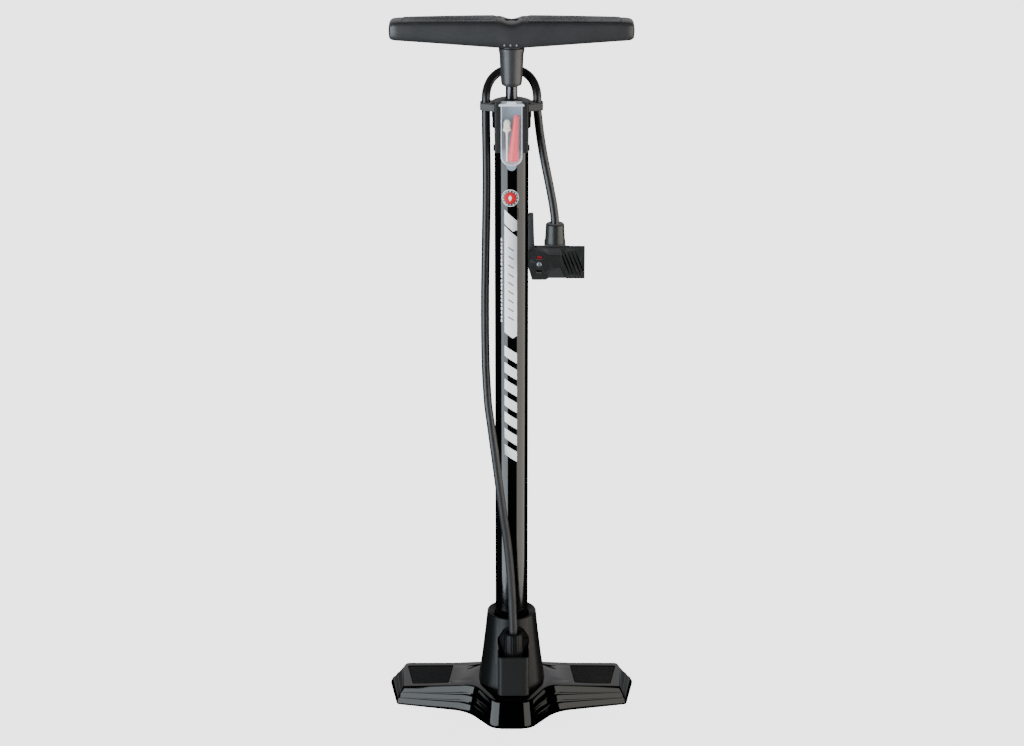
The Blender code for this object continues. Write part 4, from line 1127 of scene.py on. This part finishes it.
def make_head():
    on_hose = []
    at = (PIN_X, 0, PIN_Z)
    place = {"look": HEAD_BLACK}
    near = CAP_X[0] - 0.0001
    outline = rounded([
        (0.0154, 0.4760, 0.0020), (0.0191, 0.4634, 0.0010), (0.0322, 0.4635, 0.0008),
        (0.0345, 0.4652, 0.0008), (near, 0.4652, 0.0002), (near, HEAD_TOP, 0.0002),
        (0.0238, HEAD_TOP, 0.0008), (0.0218, 0.4928, 0.0008), (0.0154, 0.4906, 0.0012),
    ], 5)
    body = prism("valve_head", outline, HEAD_FRONT, HEAD_BACK, 0.0, "Y", node="head_body", **place)
    boss = [(0.0310, 0.4948), (0.0498, 0.4948), (0.0470, 0.4872), (0.0342, 0.4872)]
    small = [(0.0366, 0.4944), (0.0448, 0.4944), (0.0460, 0.4880), (0.0352, 0.4880)]
    root = [(2 * a - c, 2 * b - d) for (a, b), (c, d) in zip(boss, small)]
    rings = [
        placed(small, HEAD_FRONT - 0.0013, "Y"),
        placed(root, HEAD_FRONT + 0.0013, "Y"),
        placed(root, HEAD_BACK - 0.0013, "Y"),
        placed(small, HEAD_BACK + 0.0013, "Y"),
    ]
    plate = [(0.0328, 0.4660), (0.0499, 0.4660), (0.0455, 0.4752), (0.0372, 0.4752)]
    thick = (HEAD_FRONT - 0.0005, HEAD_BACK + 0.0005)
    extras = [
        put("boss", loft_mesh(rings)),
        prism("plate", plate, *thick, axis="Y"),
        lathe("disc", rod(0.0094, thick[0] + 0.0002, thick[1] - 0.0002, 0.0001), 64, at, "Y"),
        lathe("ring", rod(0.0043, thick[0] - 0.0001, thick[1] + 0.0001, 0.0002), 48, at, "Y"),
    ]
    carve(body, extras, "UNION")
    slot = box_outline((0.0100, 0.0330), (HEAD_Y - 0.0053, HEAD_Y + 0.0053))
    cuts = [
        prism("slot", slot, 0.4500, 0.5100),
        lathe("bore", rod(BORE_R, 0.0320, 0.0600), 48, (0, HEAD_Y, CHUCK_Z), "X"),
        lathe("pin_hole", rod(PIN_R + 0.0007, -0.0500, 0.0), 40, at, "Y"),
    ]
    for low, high, sag in ((0.4830, 0.4866, 0.0), (0.4702, 0.4731, 0.0008)):
        window = rounded([
            (0.0224, low + sag, 0.0006), (0.0238, low - sag * 0.6, 0.0012),
            (0.0278, low - sag * 0.6, 0.0012), (0.0292, low + sag, 0.0006), (0.0292, high, 0.0006),
            (0.0224, high, 0.0006),
        ] if sag else [
            (0.0226, low, 0.0008), (0.0291, low, 0.0008), (0.0291, high, 0.0008),
            (0.0226, high, 0.0008),
        ], 4)
        cuts.append(prism("window", window, HEAD_FRONT - 0.0100, HEAD_FRONT + 0.0047, axis="Y"))
    cuts += [head_slope(0.0100, 0.0306), head_slope(0.0504, 0.0700)]
    cuts += grooves(0.0470, CAP_X[0] + 0.0010)
    carve(body, cuts)
    soften(body, 0.0003, 2, 45)
    on_hose.append(body)

    flag = rounded([
        (0.0230, 0.4833, 0.0006), (0.0287, 0.4833, 0.0006), (0.0287, 0.4863, 0.0006),
        (0.0230, 0.4863, 0.0006),
    ], 4)
    on_hose.append(prism(
        "lock_flag", flag, HEAD_FRONT + 0.0016, HEAD_FRONT + 0.0045, 0.0002, "Y",
        look=DARK_RED, slot="red_plastic",
    ))
    pin = lathe(
        "cross_pin", [
            (0.0, HEAD_FRONT - 0.0001, 0), (0.0023, HEAD_FRONT + 0.0003, 0.0006),
            (0.0023, HEAD_BACK - 0.0003, 0.0006), (0.0, HEAD_BACK + 0.0001, 0),
        ],
        48, at, "Y", look=PIN_STEEL, slot="steel", node="lever_pin",
    )
    on_hose.append(pin)

    section = rounded([
        (HEAD_FRONT, 0.4642, 0.0025), (HEAD_BACK, 0.4642, 0.0025),
        (HEAD_BACK, HEAD_TOP - 0.0060, 0.0025), (HEAD_FRONT, HEAD_TOP, 0.0012),
    ], 8)
    cap = prism("grip_cap", section, *CAP_X, 0.0003, "X", node="head_cap", **place)
    axis = (0, HEAD_Y, CHUCK_Z)
    cuts = [
        lathe("bore", rod(BORE_R, CAP_X[0] - 0.001, CAP_X[1] - 0.0022), 64, axis, "X"),
        lathe("mouth", rod(0.0048, CAP_X[1] - 0.0044, CAP_X[1] + 0.001), 64, axis, "X"),
    ]
    cuts += grooves(CAP_X[0] - 0.0010, CAP_X[1] - 0.0012)
    carve(cap, cuts)
    soften(cap, 0.00015, 2, 50)
    on_hose.append(cap)

    low, high = 0.4966, 0.5154
    sleeve = lathe(
        "hose_boot", [
            (0.0043, HOSE_END_Z - 0.0003, 0), (0.0043, high + 0.0002, 0.0002),
            (0.0050, high + 0.0002, 0.0004), (0.0079, high, 0.0008),
            (0.0086, high - 0.0009, 0.0005), (0.0090, 0.5060, 0.0100), (0.0096, 0.4976, 0.0003),
            (0.0094, low, 0.0002), (0.0015, low, 0), (0.0015, HOSE_END_Z - 0.0003, 0),
        ],
        96, (SLEEVE_X, HEAD_Y, 0), look=MATTE_BLACK,
        node="hose_sleeve",
    )
    on_hose.append(sleeve)
    return on_hose


def make_lever():
    outline = [
        (0.0155, 0.4955, 0.0030), (0.0157, 0.5231, 0.0004), (0.0167, 0.5245, 0.0004),
        (0.0198, 0.5245, 0.0004), (0.0205, 0.5237, 0.0004), (0.0213, 0.4955, 0.0020),
    ]
    for degrees in range(120, -190, -10):
        turn = radians(degrees)
        outline.append((PIN_X + 0.0055 * cos(turn), PIN_Z + 0.0055 * sin(turn), 0.0))
    outline.append((0.0168, 0.4850, 0.0020))
    lever = prism(
        "cam_lever", rounded(outline, 4), HEAD_Y - 0.0050, HEAD_Y + 0.0050, 0.0002, "Y",
        look=SPARK_BLACK, body="lever", node="thumb_lever",
    )
    carve(lever, [lathe("hole", rod(PIN_R + 0.0003, -0.0500, 0.0), 40, (PIN_X, 0, PIN_Z), "Y")])
    at = (0, HEAD_Y, CHUCK_Z)
    lathe(
        "squeeze_plunger", [
            (0.0, 0.0540, 0), (0.0022, 0.0540, 0.0003), (0.0026, 0.0530, 0.0003),
            (0.0060, 0.0520, 0.0004), (0.0060, 0.0350, 0.0004), (0.0, 0.0350, 0),
        ],
        48, at, "X", look=RED, body="chuck", slot="red_plastic", node="chuck_plunger",
    )
    lathe(
        "mouth_seal", tube(0.0038, 0.0062, 0.0580, CAP_X[1] - 0.0025, 0.0004), 48, at, "X",
        look=RUBBER, slot="rubber", node="valve_gasket",
    )
    middles = [(0.0156, HEAD_Y, 0.5150 + 0.0022 * k) for k in range(5)]
    ridges = ridge_mesh(middles, (0.0008, 0.0080, 0.0009), 0.00015)
    put("lever_ridges", ridges, SPARK_BLACK, "lever")


def make_spring():
    """The poppet's coil spring."""
    turns, low, high, coil, wire = 4, 0.0400, 0.0566, 0.0027, 0.0004
    rings = []
    for k in range(16 * turns + 1):
        turn = tau * k / 16
        out = Vector((cos(turn), sin(turn), 0))
        round_it = coil * tau * Vector((-sin(turn), cos(turn), 0))
        along = (round_it + Vector((0, 0, (high - low) / turns))).normalized()
        side = along.cross(out)
        middle = coil * out + Vector((0, 0, low + (high - low) * k / (16 * turns)))
        rings.append([tuple(middle + wire * (c * out + s * side)) for c, s in disc(0, 0, 1, 8)])
    spring = put("lift_spring", loft_mesh(rings), STEEL, "pump_body", "steel", "check_spring", 60)
    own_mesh(spring)


# ---- build

hose, hose_length = make_hose()
make_base()
make_collar()
make_nut()
make_barrel()
make_decals()
make_cap()
make_bracket()
make_tray()
make_adapters()
make_handle()
make_rod()
on_hose = make_head()
make_lever()
make_spring()

CARRIED = (
    (MATTE_BLACK, "valve_body piston_head"),
    (RUBBER, "foot_left foot_right foot_front foot_centre valve_o_ring stroke_bumper piston_cup"),
    (STEEL, "base_screw_left base_screw_right piston_washer piston_nut"),
    (BRASS, "valve_seat outlet_elbow"),
    (RED, "check_poppet"),
)
for look, nodes in CARRIED:
    for node in nodes.split():
        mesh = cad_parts[node].data
        mesh.materials.clear()
        mesh.materials.append(look)


# ---- floor and light

GLOW = 3.0  # of the floor, and of the sky where the camera sees it
sheet = bmesh.new()
bmesh.ops.create_grid(sheet, x_segments=1, y_segments=1, size=30.0)
floor = put("floor", sheet)
floor_look = Nodes("floor_paper")
floor_look.shader.inputs["Roughness"].default_value = 0.9
floor_look.shader.inputs["Specular IOR Level"].default_value = 0.0
floor_look.shader.inputs["Emission Color"].default_value = (1.0, 1.0, 1.0, 1.0)
floor_look.shader.inputs["Emission Strength"].default_value = GLOW
floor_look.link(
    floor_look.mix(floor_look.noise(2.0), (0.90, 0.90, 0.90), (0.92, 0.92, 0.92)),
    floor_look.shader.inputs["Base Color"],
)
floor.data.materials.append(floor_look.material)
floor.visible_diffuse = False
floor.visible_glossy = False
floor.visible_transmission = False
floor.visible_shadow = False


def softbox(name, azimuth, distance, height, size, watts, colour, level=False):
    """An upright or tilted area light that faces the pump. Azimuth 0 is the camera's side."""
    data = bpy.data.lights.new(name, "AREA")
    data.shape = "RECTANGLE"
    data.size, data.size_y = size
    data.energy = watts
    data.color = colour
    light = bpy.data.objects.new(name, data)
    turn = radians(azimuth)
    light.location = (distance * sin(turn), -distance * cos(turn), height)
    aim = Vector((0, 0, height if level else min(height, 0.45))) - light.location
    light.rotation_euler = aim.to_track_quat("-Z", "Y").to_euler()
    light.visible_camera = False
    scene.collection.objects.link(light)
    return light


def light_only(lights, names, state="INCLUDE"):
    """Keeps some lights to, or away from, the named pieces."""
    group = bpy.data.collections.new(lights[0].name + "_receivers")
    for name in names:
        group.objects.link(bpy.data.objects[name])
    for entry in group.collection_objects:
        entry.light_linking.link_state = state
    for light in lights:
        light.light_linking.receiver_collection = group


left_box = softbox("left_box", -51, 1.6, 0.35, (1.38, 2.4), 66, (0.84, 0.93, 1.0))
right_box = softbox("right_box", 71, 1.6, 0.35, (2.14, 2.4), 56, (1.0, 0.95, 0.88))
back_panel = softbox("back_panel", 180, 2.2, 2.0, (3.4, 3.0), 24, (1.0, 0.97, 1.0), level=True)
low_left = softbox("low_left", -47, 1.6, -0.32, (2.2, 0.9), 24, (0.88, 0.96, 1.0))
low_right = softbox("low_right", 36, 1.6, -0.32, (1.5, 0.9), 9, (1.0, 0.98, 0.90))
end_left = softbox("end_left", -143, 1.6, -0.1, (0.7, 0.5), 0.18, (0.88, 0.96, 1.0), level=True)
end_right = softbox("end_right", 143, 1.6, -0.1, (0.7, 0.5), 0.22, (0.88, 0.96, 1.0), level=True)
low_back = softbox("low_back", 180, 1.6, -0.32, (1.4, 0.9), 5, (0.94, 0.97, 1.0))
nook_left = softbox("nook_left", -103, 1.6, -0.22, (0.06, 0.3), 0.05, (0.92, 0.98, 1.0))
nook_right = softbox("nook_right", 103, 1.6, -0.22, (0.11, 0.4), 0.11, (1.0, 0.98, 0.92))
over_handle = softbox("over_handle", 180, 1.4, 1.75, (1.2, 0.8), 9, (0.90, 0.95, 1.0))
light_only(
    [low_left, low_right, low_back, end_left, end_right, nook_left, nook_right], ["base_shell"]
)
light_only([left_box, right_box], ["base_shell", "floor"], "EXCLUDE")
light_only([back_panel], ["floor"], "EXCLUDE")
light_only([over_handle], ["grip_inlay_left", "grip_inlay_right"])

unseen = [bpy.data.objects[name] for name in ("cam_lever", "squeeze_plunger", "mouth_seal")]
for piece in (hose, *on_hose, *unseen):
    piece.visible_glossy = False
for name in ("tray_window", "tray_frame", "tray_lip"):
    bpy.data.objects[name].visible_shadow = False

world = bpy.data.worlds.new("studio")
world.use_nodes = True
scene.world = world
tree = world.node_tree
sky = tree.nodes["Background"]
sky.inputs["Color"].default_value = (1.0, 1.0, 1.0, 1.0)
ray = tree.nodes.new("ShaderNodeLightPath")
total = tree.nodes.new("ShaderNodeMath")
total.operation = "ADD"
for socket, (kind, strength) in enumerate((("Is Diffuse Ray", 0.16), ("Is Camera Ray", GLOW))):
    level = tree.nodes.new("ShaderNodeMapRange")
    level.inputs["To Min"].default_value = 0.0
    level.inputs["To Max"].default_value = strength
    tree.links.new(ray.outputs[kind], level.inputs["Value"])
    tree.links.new(level.outputs["Result"], total.inputs[socket])
tree.links.new(total.outputs["Value"], sky.inputs["Strength"])
